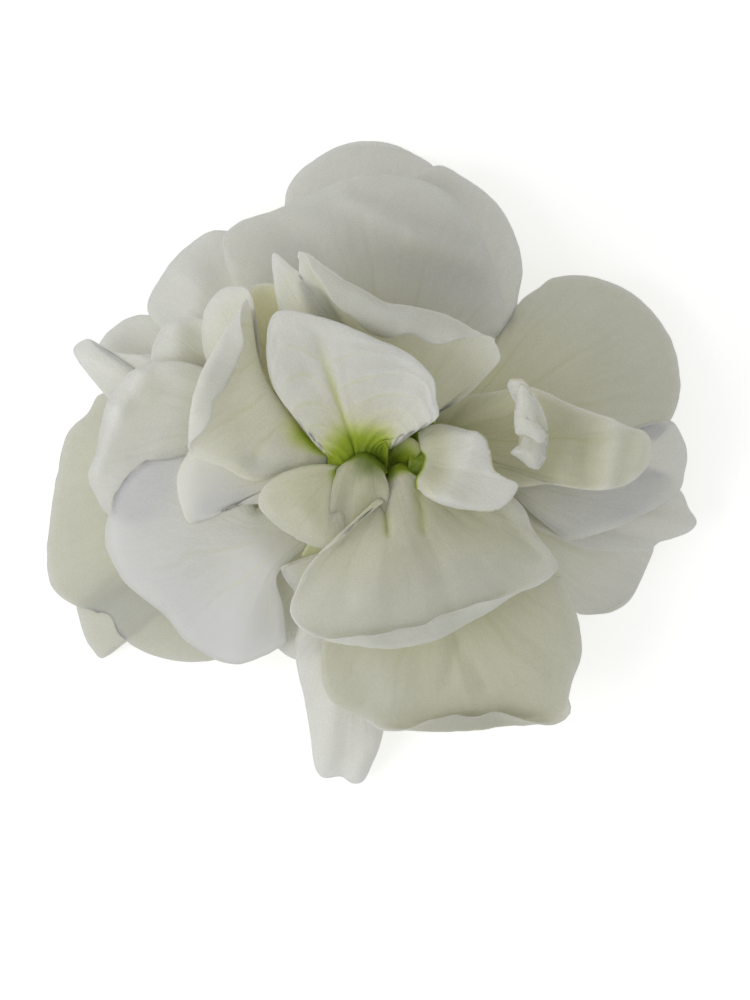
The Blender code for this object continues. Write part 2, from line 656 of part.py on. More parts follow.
def joined(name, pieces, collection, solver="EXACT"):
    """One body made of overlapping pieces, which are removed."""
    group = bpy.data.collections.new(name + "_pieces")
    for piece in pieces[1:]:
        collection.objects.unlink(piece)
        group.objects.link(piece)
    bpy.context.scene.collection.children.link(group)
    body = pieces[0]
    union = body.modifiers.new("join", "BOOLEAN")
    union.operation = "UNION"
    union.operand_type = "COLLECTION"
    union.collection = group
    union.solver = solver
    apply_modifiers(body)
    for piece in list(group.objects):
        bpy.data.objects.remove(piece)
    bpy.data.collections.remove(group)
    body.name = body.data.name = name
    return body


def claw_bundle(collection):
    """The claws, packed side by side into one column with a dimple at the throat."""
    profile = (
        (0.0, THROAT_FLOOR),
        (THROAT_FLOOR_RADIUS, THROAT_FLOOR),
        (THROAT_RIM_RADIUS, BUNDLE_TOP),
        (BUNDLE_TOP_RADIUS, THROAT_SHOULDER),
        ((BUNDLE_TOP_RADIUS + BUNDLE_FOOT_RADIUS) / 2, (BUNDLE_TOP + BUNDLE_FOOT) / 2),
        (BUNDLE_FOOT_RADIUS, BUNDLE_FOOT),
        (0.0, BUNDLE_FOOT),
    )
    return turned("claw_bundle", profile, collection)


def sepal_tube(collection):
    """Four sepals side by side in a tube, two of them pouched at the foot, with pointed tips that flare."""
    bm = bmesh.new()
    bmesh.ops.create_grid(bm, x_segments=CALYX_COLUMNS, y_segments=CALYX_ROWS, size=0.5)
    for vert in bm.verts:
        angle, share = math.tau * (vert.co.x + 0.5), vert.co.y + 0.5
        tip = abs(math.cos(2 * angle)) ** SEPAL_POINTEDNESS
        top = SEPAL_NOTCH_HEIGHT + (SEPAL_TIP_HEIGHT - SEPAL_NOTCH_HEIGHT) * tip
        pouch = POUCH_BULGE * math.cos(angle) ** 2 * math.exp(-POUCH_FALLOFF * share * share)
        radius = CALYX_RADIUS + pouch + SEPAL_FLARE * share ** SEPAL_FLARE_POWER
        height = CALYX_FOOT + (top - CALYX_FOOT) * share
        vert.co = Vector((radius * math.cos(angle), radius * math.sin(angle), height)) * MM
    bmesh.ops.remove_doubles(bm, verts=bm.verts[:], dist=MERGE_DISTANCE)
    bmesh.ops.triangulate(bm, faces=bm.faces[:])
    tube = new_object("sepal_tube", bm, collection)
    tube.location = (AXIS[0] * MM, AXIS[1] * MM, 0.0)
    wall = tube.modifiers.new("thickness", "SOLIDIFY")
    wall.thickness = CALYX_WALL * MM
    wall.offset = 0.0
    apply_modifiers(tube)
    return tube


def receptacle(collection):
    """The green seat that sepals and claws grow from."""
    profile = (
        (0.0, CALYX_FLOOR),
        (CALYX_RADIUS, CALYX_FLOOR),
        (CALYX_RADIUS, CALYX_FOOT),
        (FOOT_CONE_RADIUS, FOOT_CONE_HEIGHT),
        (STALK_RADIUS, FOOT_BOTTOM),
        (0.0, FOOT_BOTTOM),
    )
    return turned("receptacle", profile, collection)


def stalk(collection):
    """The stub of stalk, bent aside under the calyx."""
    curve = bpy.data.curves.new("stalk", "CURVE")
    curve.dimensions = "3D"
    curve.bevel_depth = STALK_RADIUS * MM
    curve.bevel_resolution = STALK_BEVEL_STEPS
    curve.use_fill_caps = True
    spline = curve.splines.new("POLY")
    path = [Vector(p) for p in STALK_PATH]
    knots = spread_knots(path)
    spline.points.add(STALK_STEPS)
    for i, point in enumerate(spline.points):
        point.co = (*(curve_through(path, knots, i / STALK_STEPS) * MM), 1.0)
    wire = bpy.data.objects.new("stalk_path", curve)
    collection.objects.link(wire)
    mesh = bpy.data.meshes.new_from_object(wire.evaluated_get(bpy.context.evaluated_depsgraph_get()))
    bm = bmesh.new()
    bm.from_mesh(mesh)
    bmesh.ops.remove_doubles(bm, verts=bm.verts[:], dist=MERGE_DISTANCE)
    bpy.data.objects.remove(wire)
    return new_object("stalk", bm, collection)


def surface_cutter(collection):
    """A block whose top is the surface that the blossom lies on."""
    size = SURFACE_BLOCK_SIZE * MM
    bm = bmesh.new()
    bmesh.ops.create_cube(bm, size=size)
    block = new_object("surface_cutter", bm, collection)
    block.location.z = -size / 2
    block.hide_render = True
    block.display_type = "WIRE"
    return block


def material(name, colour, roughness):
    """A plain finish."""
    made = bpy.data.materials.new(name)
    made.use_nodes = True
    shader = made.node_tree.nodes["Principled BSDF"]
    shader.inputs["Base Color"].default_value = (*colour, 1.0)
    shader.inputs["Roughness"].default_value = roughness
    shader.inputs["Metallic"].default_value = 0.0
    return made


def dress(thing, finish):
    """Gives an object one finish and smooth shading."""
    thing.data.materials.clear()
    thing.data.materials.append(finish)
    thing.data.shade_smooth()


def main():
    """Builds the blossom."""
    for thing in list(bpy.data.objects):
        bpy.data.objects.remove(thing)
    flower = bpy.data.collections.new("stock_flower")
    cutters = bpy.data.collections.new("cutters")
    bpy.context.scene.collection.children.link(flower)
    bpy.context.scene.collection.children.link(cutters)

    pieces = [claw_bundle(flower)]
    pieces += [petal_solid(name, petal, flower) for name, petal in PETALS.items()]
    petals = joined("petals", pieces, flower, "MANIFOLD")
    surface = surface_cutter(cutters)
    rest = petals.modifiers.new("rest", "BOOLEAN")
    rest.operation = "DIFFERENCE"
    rest.object = surface
    rest.solver = "MANIFOLD"
    apply_modifiers(petals)
    keep_outer_skin(petals)
    dress(petals, material("petal_white", (0.82, 0.82, 0.78), 0.6))

    calyx = joined("calyx", [receptacle(flower), sepal_tube(flower), stalk(flower)], flower)
    keep_outer_skin(calyx)
    dress(calyx, material("sepal_green", (0.36, 0.47, 0.16), 0.55))


main()
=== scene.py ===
"""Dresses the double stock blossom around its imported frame.

Every petal is a fine, thin blade in place of its coarser solid, with rolled lips, creases, ruffles and
veins. The claws, the throat, the calyx and the stub of stalk follow, then the floor, the lights and the
camera.
"""
from __future__ import annotations

import logging
import math
from dataclasses import dataclass, field
from enum import Enum

import bmesh
import bpy
import numpy as np
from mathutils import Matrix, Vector, noise

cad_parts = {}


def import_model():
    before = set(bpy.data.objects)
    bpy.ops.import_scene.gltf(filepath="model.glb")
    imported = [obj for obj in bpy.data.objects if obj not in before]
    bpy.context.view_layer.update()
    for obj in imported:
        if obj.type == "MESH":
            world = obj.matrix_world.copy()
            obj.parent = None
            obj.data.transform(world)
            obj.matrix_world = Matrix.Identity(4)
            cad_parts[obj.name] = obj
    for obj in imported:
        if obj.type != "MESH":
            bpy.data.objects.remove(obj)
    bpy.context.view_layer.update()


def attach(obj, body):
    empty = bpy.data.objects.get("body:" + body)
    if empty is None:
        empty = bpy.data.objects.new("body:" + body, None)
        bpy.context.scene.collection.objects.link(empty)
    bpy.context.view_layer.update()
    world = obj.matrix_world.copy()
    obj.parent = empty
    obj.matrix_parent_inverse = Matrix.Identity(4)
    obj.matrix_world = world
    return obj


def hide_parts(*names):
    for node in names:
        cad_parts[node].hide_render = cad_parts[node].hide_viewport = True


Place = tuple[float, float]
Point = tuple[float, float, float]
Socket = bpy.types.NodeSocket
Colour = tuple[float, float, float]

LOG = logging.getLogger("stock_flower")
BODY = "root"

# Millimetres to metres, the flower's axis in millimetres, and the middle of the throat.
MM = 0.001
AXIS: Place = (1.0, 0.1)
THROAT: Point = (0.2, 0.15, 13.4)

# The upright petal's veins: its midrib's place across the blade, how its side veins slant, how many there
# are and how they swell, and how deep and wide the midrib's groove is.
MIDRIB = 0.44
SIDE_VEIN_SLANT = 1.15
SIDE_VEIN_COUNT = 7.0
SIDE_VEIN_RISE = 0.13
SIDE_VEIN_WIDTH = 0.2
MIDRIB_DEPTH = 0.25
MIDRIB_WIDTH = 0.03

# Where each doubling of a fan's veins starts along the blade, where it is full and how strong it is.
FAN_LEVELS = ((0.1, 0.2, 1.0), (0.42, 0.6, 0.6), (0.64, 0.82, 0.4))

# How far veins sway across the blade.
FAN_SWAY = 0.14
PAIRED_SWAY = 0.05

# How fine the noise is that veins sway by.
SWAY_SCALE = 2.4

# The lengths of a margin's nicks and dents, in millimetres.
NICK_LENGTHS = (0.7, 2.6)

# A blade's waves, broad waves, frill and ripple: their length along the margin in millimetres, how many lie
# along a ray, and the shift of their noise.
WAVES = ((4.2, 1.6, 0.0), (9.0, 1.2, 3.3), (1.3, 7.0, 5.1), (1.5, 1.4, 8.2))

# In millimetres: rays shorter than the first are arched and ruffled less, a margin's roll shows its own tone
# over the second, and a cut narrower than the third is a crease.
FULL_RAY = 3.0
ROLL_REACH = 0.6
CREASE_RADIUS = 0.6

# How many times a rolled lip wavers along the whole margin, and how much its turn and its width do.
LIP_WAVERS = 14.0
TURN_WAVER = 0.12
WIDTH_WAVER = 0.35

# The radius, in millimetres, to which the ends of a round piece draw in before they are closed.
CORE = 0.02

# Points nearer than this, in metres, are one.
WELD_REACH = 0.0000001

# The vertex group with the shares of a blade's thickness, and how finely the shares are stepped.
THICK = "thick"
SHARE_LEVELS = 20

# How far apart the petals' patterns lie in their noise.
SEED_STEP = 3.7

SMALL_STEP = 0.001
TINY = 1e-6


class Node(Enum):
    """The solids that the pieces here stand for."""

    PETALS = "petals"
    CALYX = "calyx"


class Slot(Enum):
    """The record's material slots."""

    PETAL = "petal"
    SEPAL = "sepal"


@dataclass(frozen=True)
class Lip:
    """A stretch of margin, between two of its points, that rolls up and back over the blade."""

    first: int
    last: int
    width: float
    radius: float = 0.38
    turn: float = 168.0
    lean: float = 0.0
    taper: float = 0.8


@dataclass(frozen=True)
class Fold:
    """A swell of a blade along a line in plan, or a crease where its height is negative.

    It may also paint light or shade on the blade along its line.
    """

    start: Place
    end: Place
    radius: float
    height: float
    # Light or shade painted along the line: how much lighter or darker the blade is drawn there.
    tone: float = 0.0

    def near(self, x: np.ndarray, y: np.ndarray) -> np.ndarray:
        """How near places in plan are to the fold's line.

        Args:
            x: Places across, in millimetres.
            y: Places up the plan, in millimetres.

        Returns:
            1 on the line, falling to 0 away from it.
        """
        run_x, run_y = self.end[0] - self.start[0], self.end[1] - self.start[1]
        length = max(run_x * run_x + run_y * run_y, TINY)
        share = np.clip(((x - self.start[0]) * run_x + (y - self.start[1]) * run_y) / length, 0.0, 1.0)
        far = np.hypot(x - self.start[0] - share * run_x, y - self.start[1] - share * run_y) / self.radius
        return np.exp(-far * far)


def line_length(points: np.ndarray) -> float:
    """The length of the line through points."""
    return float(np.linalg.norm(np.diff(points, axis=0), axis=1).sum())


def spread_knots(points: np.ndarray) -> np.ndarray:
    """Knots from 0 to 1, spaced by the distance from each point to the next.

    Args:
        points: Lines of points, with the points on the last axis but one.

    Returns:
        The knots of each line.
    """
    reach = np.linalg.norm(np.diff(points, axis=-2), axis=-1).cumsum(axis=-1)
    start = np.zeros_like(reach[..., :1])
    return np.concatenate([start, reach], axis=-1) / reach[..., -1:]


def curves_through(lines: np.ndarray, knots: np.ndarray, at: np.ndarray) -> np.ndarray:
    """Points on smooth curves that pass through lines of points at their knots.

    Args:
        lines: Lines of points, line by line.
        knots: The knots of each line's points, from 0 to 1.
        at: Places from 0 to 1 along each line.

    Returns:
        The points, line by line.
    """
    last = lines.shape[1] - 1
    cell = np.clip((at[..., None] > knots[:, None, 1:-1]).sum(axis=-1), 0, last - 1)
    low, high = np.maximum(np.arange(last + 1) - 1, 0), np.minimum(np.arange(last + 1) + 1, last)
    slopes = (lines[:, high] - lines[:, low]) / (knots[:, high] - knots[:, low])[..., None]
    row = np.arange(len(lines))[:, None]
    span = knots[row, cell + 1] - knots[row, cell]
    t = ((at - knots[row, cell]) / span)[..., None]
    square, cube = t * t, t * t * t
    return (
        lines[row, cell] * (2 * cube - 3 * square + 1)
        + slopes[row, cell] * span[..., None] * (cube - 2 * square + t)
        + lines[row, cell + 1] * (3 * square - 2 * cube)
        + slopes[row, cell + 1] * span[..., None] * (cube - square)
    )


def normalised(vectors: np.ndarray) -> np.ndarray:
    """Vectors of length one, the same way."""
    return vectors / np.maximum(np.linalg.norm(vectors, axis=-1, keepdims=True), TINY)


def smooth_noise(x: np.ndarray, y: np.ndarray, seed: float) -> np.ndarray:
    """Smooth noise from -1 to 1 at places in a plane.

    Args:
        x: Places across, in units of about one bump.
        y: Places up, in the same units.
        seed: A number that picks the pattern.

    Returns:
        The noise at each place.
    """
    values = [noise.noise(Vector((a, b, seed))) for a, b in zip(x.ravel(), y.ravel())]
    return np.array(values).reshape(x.shape)


def grid_object(name: str, points: np.ndarray, attributes: dict[str, np.ndarray]) -> bpy.types.Object:
    """A sheet made of a grid of points, with its place in the grid as its UV map.

    Args:
        name: The piece's name.
        points: Columns of rows of points, in millimetres.
        attributes: Values for each point, by attribute name.

    Returns:
        The sheet.
    """
    columns, rows = points.shape[0] - 1, points.shape[1] - 1
    bm = bmesh.new()
    bm.loops.layers.uv.new("blade")
    bmesh.ops.create_grid(bm, x_segments=columns, y_segments=rows, size=0.5, calc_uvs=True)
    mesh = bpy.data.meshes.new(name)
    bm.to_mesh(mesh)
    bm.free()
    mesh.vertices.foreach_set("co", (points.transpose(1, 0, 2) * MM).ravel())
    for label, values in attributes.items():
        layer = mesh.attributes.new(label, "FLOAT", "POINT")
        layer.data.foreach_set("value", values.T.ravel().astype(np.float32))
    mesh.shade_smooth()
    mesh.update()
    made = bpy.data.objects.new(name, mesh)
    bpy.context.scene.collection.objects.link(made)
    return made


def weigh(piece: bpy.types.Object, shares: np.ndarray) -> None:
    """Gives a sheet's points their share of its thickness.

    Args:
        piece: The sheet.
        shares: The share of each point, in its grid's columns and rows.
    """
    group = piece.vertex_groups.new(name=THICK)
    levels = np.round(shares.T.ravel() * SHARE_LEVELS).astype(int)
    for level in range(SHARE_LEVELS + 1):
        group.add(np.flatnonzero(levels == level).tolist(), level / SHARE_LEVELS, "REPLACE")


def weld(piece: bpy.types.Object, filled: bool = True) -> None:
    """Joins the points of a mesh that lie in one place.

    Args:
        piece: The piece.
        filled: Whether its openings are closed and its faces turned outwards, too.
    """
    bm = bmesh.new()
    bm.from_mesh(piece.data)
    bmesh.ops.remove_doubles(bm, verts=bm.verts[:], dist=WELD_REACH)
    if filled:
        bmesh.ops.holes_fill(bm, edges=[edge for edge in bm.edges if edge.is_boundary])
        bmesh.ops.recalc_face_normals(bm, faces=bm.faces[:])
    bm.to_mesh(piece.data)
    bm.free()


def thicken(sheet: bpy.types.Object, thickness: float, group: str = "") -> None:
    """Gives a sheet its thickness, half of it to each side.

    Args:
        sheet: The sheet.
        thickness: How thick it gets, in millimetres.
        group: The vertex group with the shares of that thickness.
    """
    shell = sheet.modifiers.new("thickness", "SOLIDIFY")
    shell.thickness = thickness * MM
    shell.offset = 0.0
    shell.vertex_group = group


def round_axis(radius: np.ndarray, turn: np.ndarray, height: np.ndarray) -> np.ndarray:
    """Points round the flower's axis.

    Args:
        radius: How far each is from the axis, in millimetres.
        turn: How far each is turned round it, in radians.
        height: How high each is, in millimetres.

    Returns:
        The points.
    """
    across, up = AXIS[0] + radius * np.cos(turn), AXIS[1] + radius * np.sin(turn)
    return np.stack([across, up, height + 0 * turn], axis=2)


@dataclass(frozen=True)
class Finish:
    """A finish. Pieces that have the same one share its material."""

    name: str

    def material(self) -> bpy.types.Material:
        """Builds the finish."""
        raise NotImplementedError

    def shared(self) -> bpy.types.Material:
        """The finish's material, built when it is first wanted."""
        return bpy.data.materials.get(self.name) or self.material()


def settle(piece: bpy.types.Object, finish: Finish, node: Node) -> None:
    """Gives a piece its finish and sets it on the blossom's body, in place of a node.

    Args:
        piece: The piece.
        finish: Its finish.
        node: The solid that it stands for.
    """
    piece.data.materials.append(finish.shared())
    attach(piece, BODY)
    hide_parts(node.value)
    LOG.info("%s: %d faces", piece.name, len(piece.data.polygons))


@dataclass
class Nodes:
    """A material's node tree, with short ways to add to it."""

    tree: bpy.types.NodeTree

    def add(self, kind: str, inputs: dict | None = None, **settings: object) -> bpy.types.Node:
        """Adds a node.

        Args:
            kind: The node's type, without its ShaderNode start.
            inputs: Values or sockets for its inputs, by name or number.
            settings: Its other settings.

        Returns:
            The node.
        """
        node = self.tree.nodes.new("ShaderNode" + kind)
        for key, value in settings.items():
            setattr(node, key, value)
        for key, value in (inputs or {}).items():
            if isinstance(value, Socket):
                self.tree.links.new(value, node.inputs[key])
            else:
                node.inputs[key].default_value = value
        return node

    def math(self, operation: str, first: float | Socket, second: float | Socket = 0.0) -> Socket:
        """The result of a sum on numbers or sockets.

        Args:
            operation: The Math node's operation.
            first: The first number or socket.
            second: The second.

        Returns:
            The result's socket.
        """
        return self.add("Math", {0: first, 1: second}, operation=operation).outputs[0]

    def times(self, first: float | Socket, second: float | Socket) -> Socket:
        """The product of two numbers or sockets."""
        return self.math("MULTIPLY", first, second)

    def mark(self, name: str) -> Socket:
        """The values that a mesh carries under a name."""
        return self.add("Attribute", attribute_name=name).outputs["Fac"]

    def noise(self, place: Socket, scale: float, detail: float, roughness: float = 0.5) -> Socket:
        """Cloudy noise from 0 to 1.

        Args:
            place: Where it is read.
            scale: How fine it is.
            detail: How many finer layers it has.
            roughness: How strong the finer layers are.

        Returns:
            The noise's socket.
        """
        inputs = {"Vector": place, "Scale": scale, "Detail": detail, "Roughness": roughness}
        return self.add("TexNoise", inputs).outputs["Fac"]

    def bumps(self, *layers: tuple[Socket, float, float]) -> Socket:
        """The surface's normal, tilted by layers of bumps.

        Args:
            layers: Each layer's height, its strength, below 0 for dents, and its distance in metres.

        Returns:
            The normal's socket.
        """
        below = {}
        for height, strength, distance in layers:
            inputs = {"Height": height, "Strength": abs(strength), "Distance": distance, **below}
            below = {"Normal": self.add("Bump", inputs, invert=strength < 0).outputs[0]}
        return below["Normal"]

    def ramp(
        self, value: Socket, low: float, high: float, to_low: float = 0.0, to_high: float = 1.0
    ) -> Socket:
        """A socket that goes smoothly from to_low to to_high as value goes from low to high.

        Args:
            value: The socket that is read.
            low: Where the change starts.
            high: Where it ends.
            to_low: The result below low.
            to_high: The result above high.

        Returns:
            The result's socket.
        """
        inputs = {"Value": value, "From Min": low, "From Max": high, "To Min": to_low, "To Max": to_high}
        return self.add("MapRange", inputs, interpolation_type="SMOOTHSTEP").outputs["Result"]

    def blend(
        self, share: float | Socket, first: Colour | Socket, second: Colour | Socket, kind: str = "MIX"
    ) -> Socket:
        """A colour between two colours.

        Args:
            share: How much of the second, from 0 to 1.
            first: The first colour or socket.
            second: The second.
            kind: The Mix node's way of blending.

        Returns:
            The colour's socket.
        """
        colours = [(*c, 1.0) if isinstance(c, tuple) and len(c) == 3 else c for c in (first, second)]
        node = self.add("Mix", {0: share, 6: colours[0], 7: colours[1]}, data_type="RGBA", blend_type=kind)
        return node.outputs[2]

    def shader(self, colour: Socket, roughness: float, normal: Socket, **settings: object) -> bpy.types.Node:
        """The surface's shader, joined to the material's output.

        Args:
            colour: The base colour's socket.
            roughness: How rough the surface is.
            normal: The normal's socket.
            settings: Other inputs of the shader, with _ for spaces.

        Returns:
            The shader.
        """
        inputs = {"Base Color": colour, "Roughness": roughness, "Normal": normal}
        inputs.update({key.replace("_", " "): value for key, value in settings.items()})
        shader = self.add("BsdfPrincipled", inputs)
        output = self.tree.nodes.new("ShaderNodeOutputMaterial")
        self.tree.links.new(shader.outputs[0], output.inputs[0])
        return shader


def new_nodes(name: str) -> tuple[bpy.types.Material, Nodes]:
    """A new material with an empty node tree.

    Args:
        name: The material's name.

    Returns:
        The material and its nodes.
    """
    material = bpy.data.materials.new(name)
    material.use_nodes = True
    material.node_tree.nodes.clear()
    return material, Nodes(material.node_tree)


class Veins(Enum):
    """How a petal's veins run: spread like a fan, or in pairs from a midrib."""

    FAN = "fan"
    PAIRED = "paired"


@dataclass(frozen=True)
class PetalFinish(Finish):
    """A petal's skin: white at the margin, cream further in, partly its own colour and partly painted warm
    shade, and green on the claw, faintly veined.

    Around the throat, within ring_reach, it is green all along. The scales are those of its patterns.
    """

    margin: Colour = (0.83, 0.835, 0.745)
    inner: Colour = (0.82, 0.805, 0.60)
    pale_green: Colour = (0.62, 0.68, 0.27)
    green: Colour = (0.33, 0.44, 0.02)
    deep_green: Colour = (0.16, 0.24, 0.008)
    brown: Colour = (0.46, 0.36, 0.15)
    cream_from: float = 6.0
    cream_to: float = 19.0
    green_end: float = 0.30
    green_reach: float = 6.5
    ring_reach: float = 1.6
    veins: Veins = Veins.FAN
    vein_count: int = 5
    vein_depth: float = 0.03
    vein_green: float = 0.2
    brown_edge: float = 0.0
    roughness: float = 0.55
    glow: float = 0.85
    ragged_scale: float = 420.0
    cloud_scale: float = 260.0
    cell_scale: float = 9500.0
    crumple_scale: float = 700.0
    brown_scale: float = 900.0
    streaks_across: float = 46.0
    streaks_along: float = 5.0

    def fan_veins(self, nodes: Nodes, across: Socket, along: Socket) -> Socket:
        """Veins that run out from the claw and double in number towards the margin.

        Args:
            nodes: The material's nodes.
            across: The place across the blade, from 0 to 1.
            along: The place along it, from 0 to 1.

        Returns:
            A socket that is 1 on a vein and 0 between veins.
        """
        total = None
        for level, (start, full, strength) in enumerate(FAN_LEVELS):
            count = self.vein_count * 2 ** level
            cell = nodes.math("FRACT", nodes.times(across, float(count)))
            off_middle = nodes.math("ABSOLUTE", nodes.math("SUBTRACT", cell, 0.5))
            line = nodes.ramp(off_middle, 0.09 + 0.05 * level, 0.0)
            grown = nodes.times(line, nodes.ramp(along, start, full, 0.0, strength))
            total = grown if total is None else nodes.math("MAXIMUM", total, grown)
        return nodes.times(total, nodes.ramp(along, 0.9, 0.6))

    def paired_veins(self, nodes: Nodes, across: Socket, along: Socket) -> Socket:
        """A midrib with side veins that leave it in pairs.

        Args:
            nodes: The material's nodes.
            across: The place across the blade, from 0 to 1.
            along: The place along it, from 0 to 1.

        Returns:
            A socket that is 1 on a vein and 0 between veins.
        """
        aside = nodes.math("ABSOLUTE", nodes.math("SUBTRACT", across, MIDRIB))
        rib = nodes.times(nodes.ramp(aside, 0.03, 0.004), nodes.ramp(along, 0.95, 0.4))
        step = nodes.math("SUBTRACT", along, nodes.times(aside, SIDE_VEIN_SLANT))
        cell = nodes.math("FRACT", nodes.times(step, SIDE_VEIN_COUNT))
        line = nodes.ramp(nodes.math("ABSOLUTE", nodes.math("SUBTRACT", cell, 0.5)), 0.13, 0.02)
        line = nodes.times(line, nodes.ramp(aside, 0.42, 0.2, 0.0, 0.35))
        return nodes.math("MAXIMUM", rib, nodes.times(line, nodes.ramp(along, 0.95, 0.6)))

    def vein_net(self, nodes: Nodes, across: Socket, along: Socket) -> Socket:
        """The petal's veins, swaying a little from petal to petal.

        Args:
            nodes: The material's nodes.
            across: The place across the blade, from 0 to 1.
            along: The place along it, from 0 to 1.

        Returns:
            A socket that is 1 on a vein and 0 between veins.
        """
        seed = nodes.mark("seed")
        here = nodes.add("CombineXYZ", {0: nodes.times(across, 2.2), 1: along, 2: seed}).outputs[0]
        sway = nodes.noise(here, SWAY_SCALE, 1.5)
        far, run = (FAN_SWAY, self.fan_veins) if self.veins is Veins.FAN else (PAIRED_SWAY, self.paired_veins)
        sway = nodes.times(nodes.math("SUBTRACT", sway, 0.5), far)
        return run(nodes, nodes.math("ADD", across, sway), along)

    def material(self) -> bpy.types.Material:
        """Builds the finish.

        Returns:
            The material.
        """
        material, nodes = new_nodes(self.name)
        place = nodes.add("TexCoord").outputs["Object"]
        throat = tuple(c * MM for c in THROAT)
        reach = nodes.add("VectorMath", {0: place, 1: throat}, operation="DISTANCE").outputs["Value"]
        reach = nodes.times(reach, 1 / MM)
        ragged = nodes.noise(place, self.ragged_scale, 3.0)
        reach = nodes.math("ADD", reach, nodes.times(nodes.math("SUBTRACT", ragged, 0.5), 1.6))
        uv = nodes.add("SeparateXYZ", {0: nodes.add("UVMap", uv_map="blade").outputs[0]})
        across, along = uv.outputs[0], uv.outputs[1]
        veins = self.vein_net(nodes, across, along)
        crease = nodes.mark("crease")
        rolled = nodes.mark("rolled")

        near = nodes.ramp(reach, self.green_reach, self.green_reach * 0.35)
        green = nodes.times(nodes.ramp(along, self.green_end, 0.06), near)
        veined = nodes.times(veins, nodes.ramp(along, self.green_end * 2.4, self.green_end * 0.8))
        creased = nodes.times(crease, nodes.ramp(reach, 9.0, 5.0, 0.0, 0.6))
        # The cream further in is partly the petal's own colour and partly painted warm shade of the deeper
        # layers.
        far = nodes.ramp(reach, self.cream_from, self.cream_to, 0.0, 0.6)
        white = nodes.math("ADD", far, nodes.ramp(along, 0.3, 0.9, 0.0, 0.4))
        white = nodes.math("MAXIMUM", white, nodes.times(rolled, 0.8))
        colour = nodes.blend(white, self.inner, self.margin)
        colour = nodes.blend(nodes.times(veined, self.vein_green), colour, self.pale_green)
        colour = nodes.blend(creased, colour, self.pale_green)
        colour = nodes.blend(nodes.ramp(green, 0.0, 0.4), colour, self.pale_green)
        colour = nodes.blend(nodes.ramp(green, 0.25, 0.75), colour, self.green)
        colour = nodes.blend(nodes.ramp(reach, self.ring_reach, self.ring_reach * 0.5), colour, self.green)
        colour = nodes.blend(nodes.ramp(reach, 2.8, 1.2), colour, self.deep_green)
        shade = nodes.math("SUBTRACT", 1.0, nodes.times(veins, self.vein_depth))
        cloud = nodes.noise(place, self.cloud_scale, 4.0, 0.6)
        shade = nodes.times(shade, nodes.ramp(cloud, 0.25, 0.75, 0.97, 1.015))
        aside = nodes.times(across, self.streaks_across)
        ahead = nodes.times(along, self.streaks_along)
        lines = nodes.add("CombineXYZ", {0: aside, 1: ahead}).outputs[0]
        streaks = nodes.noise(lines, 1.0, 2.0)
        shade = nodes.times(shade, nodes.ramp(streaks, 0.3, 0.7, 0.985, 1.01))
        cells = nodes.noise(place, self.cell_scale, 1.0)
        shade = nodes.times(shade, nodes.ramp(cells, 0.3, 0.7, 0.955, 1.03))
        # Painted light and shade: each petal's and fold's painted level darkens or lightens the colour, and
        # takes out more blue where it darkens, so that the painted shade is warm.
        tone = nodes.mark("tone")
        shade = nodes.times(shade, tone)
        warm_shade_blue = nodes.times(shade, nodes.ramp(tone, 0.5, 1.0, 0.86, 1.0))
        grey = nodes.add("CombineColor", {0: shade, 1: shade, 2: warm_shade_blue}).outputs[0]
        colour = nodes.blend(1.0, colour, grey, "MULTIPLY")
        if self.brown_edge:
            patch = nodes.ramp(nodes.noise(place, self.brown_scale, 2.0), 0.46, 0.58)
            rim = nodes.times(nodes.ramp(nodes.mark("edge"), 0.2, 0.05), patch)
            colour = nodes.blend(nodes.times(rim, self.brown_edge), colour, self.brown)

        crumple = nodes.noise(place, self.crumple_scale, 3.0)
        nodes.shader(
            colour,
            self.roughness,
            nodes.bumps(
                (cells, 0.6, 0.00003),
                (crumple, 0.3, 0.00012),
                (streaks, 0.3, 0.00008),
                (veins, -0.3, 0.00004),
            ),
            Subsurface_Weight=self.glow,
            Subsurface_Radius=(1.0, 0.98, 0.90),
            Subsurface_Scale=0.0011,
            Specular_IOR_Level=0.35,
            Sheen_Weight=0.05,
        )
        return material


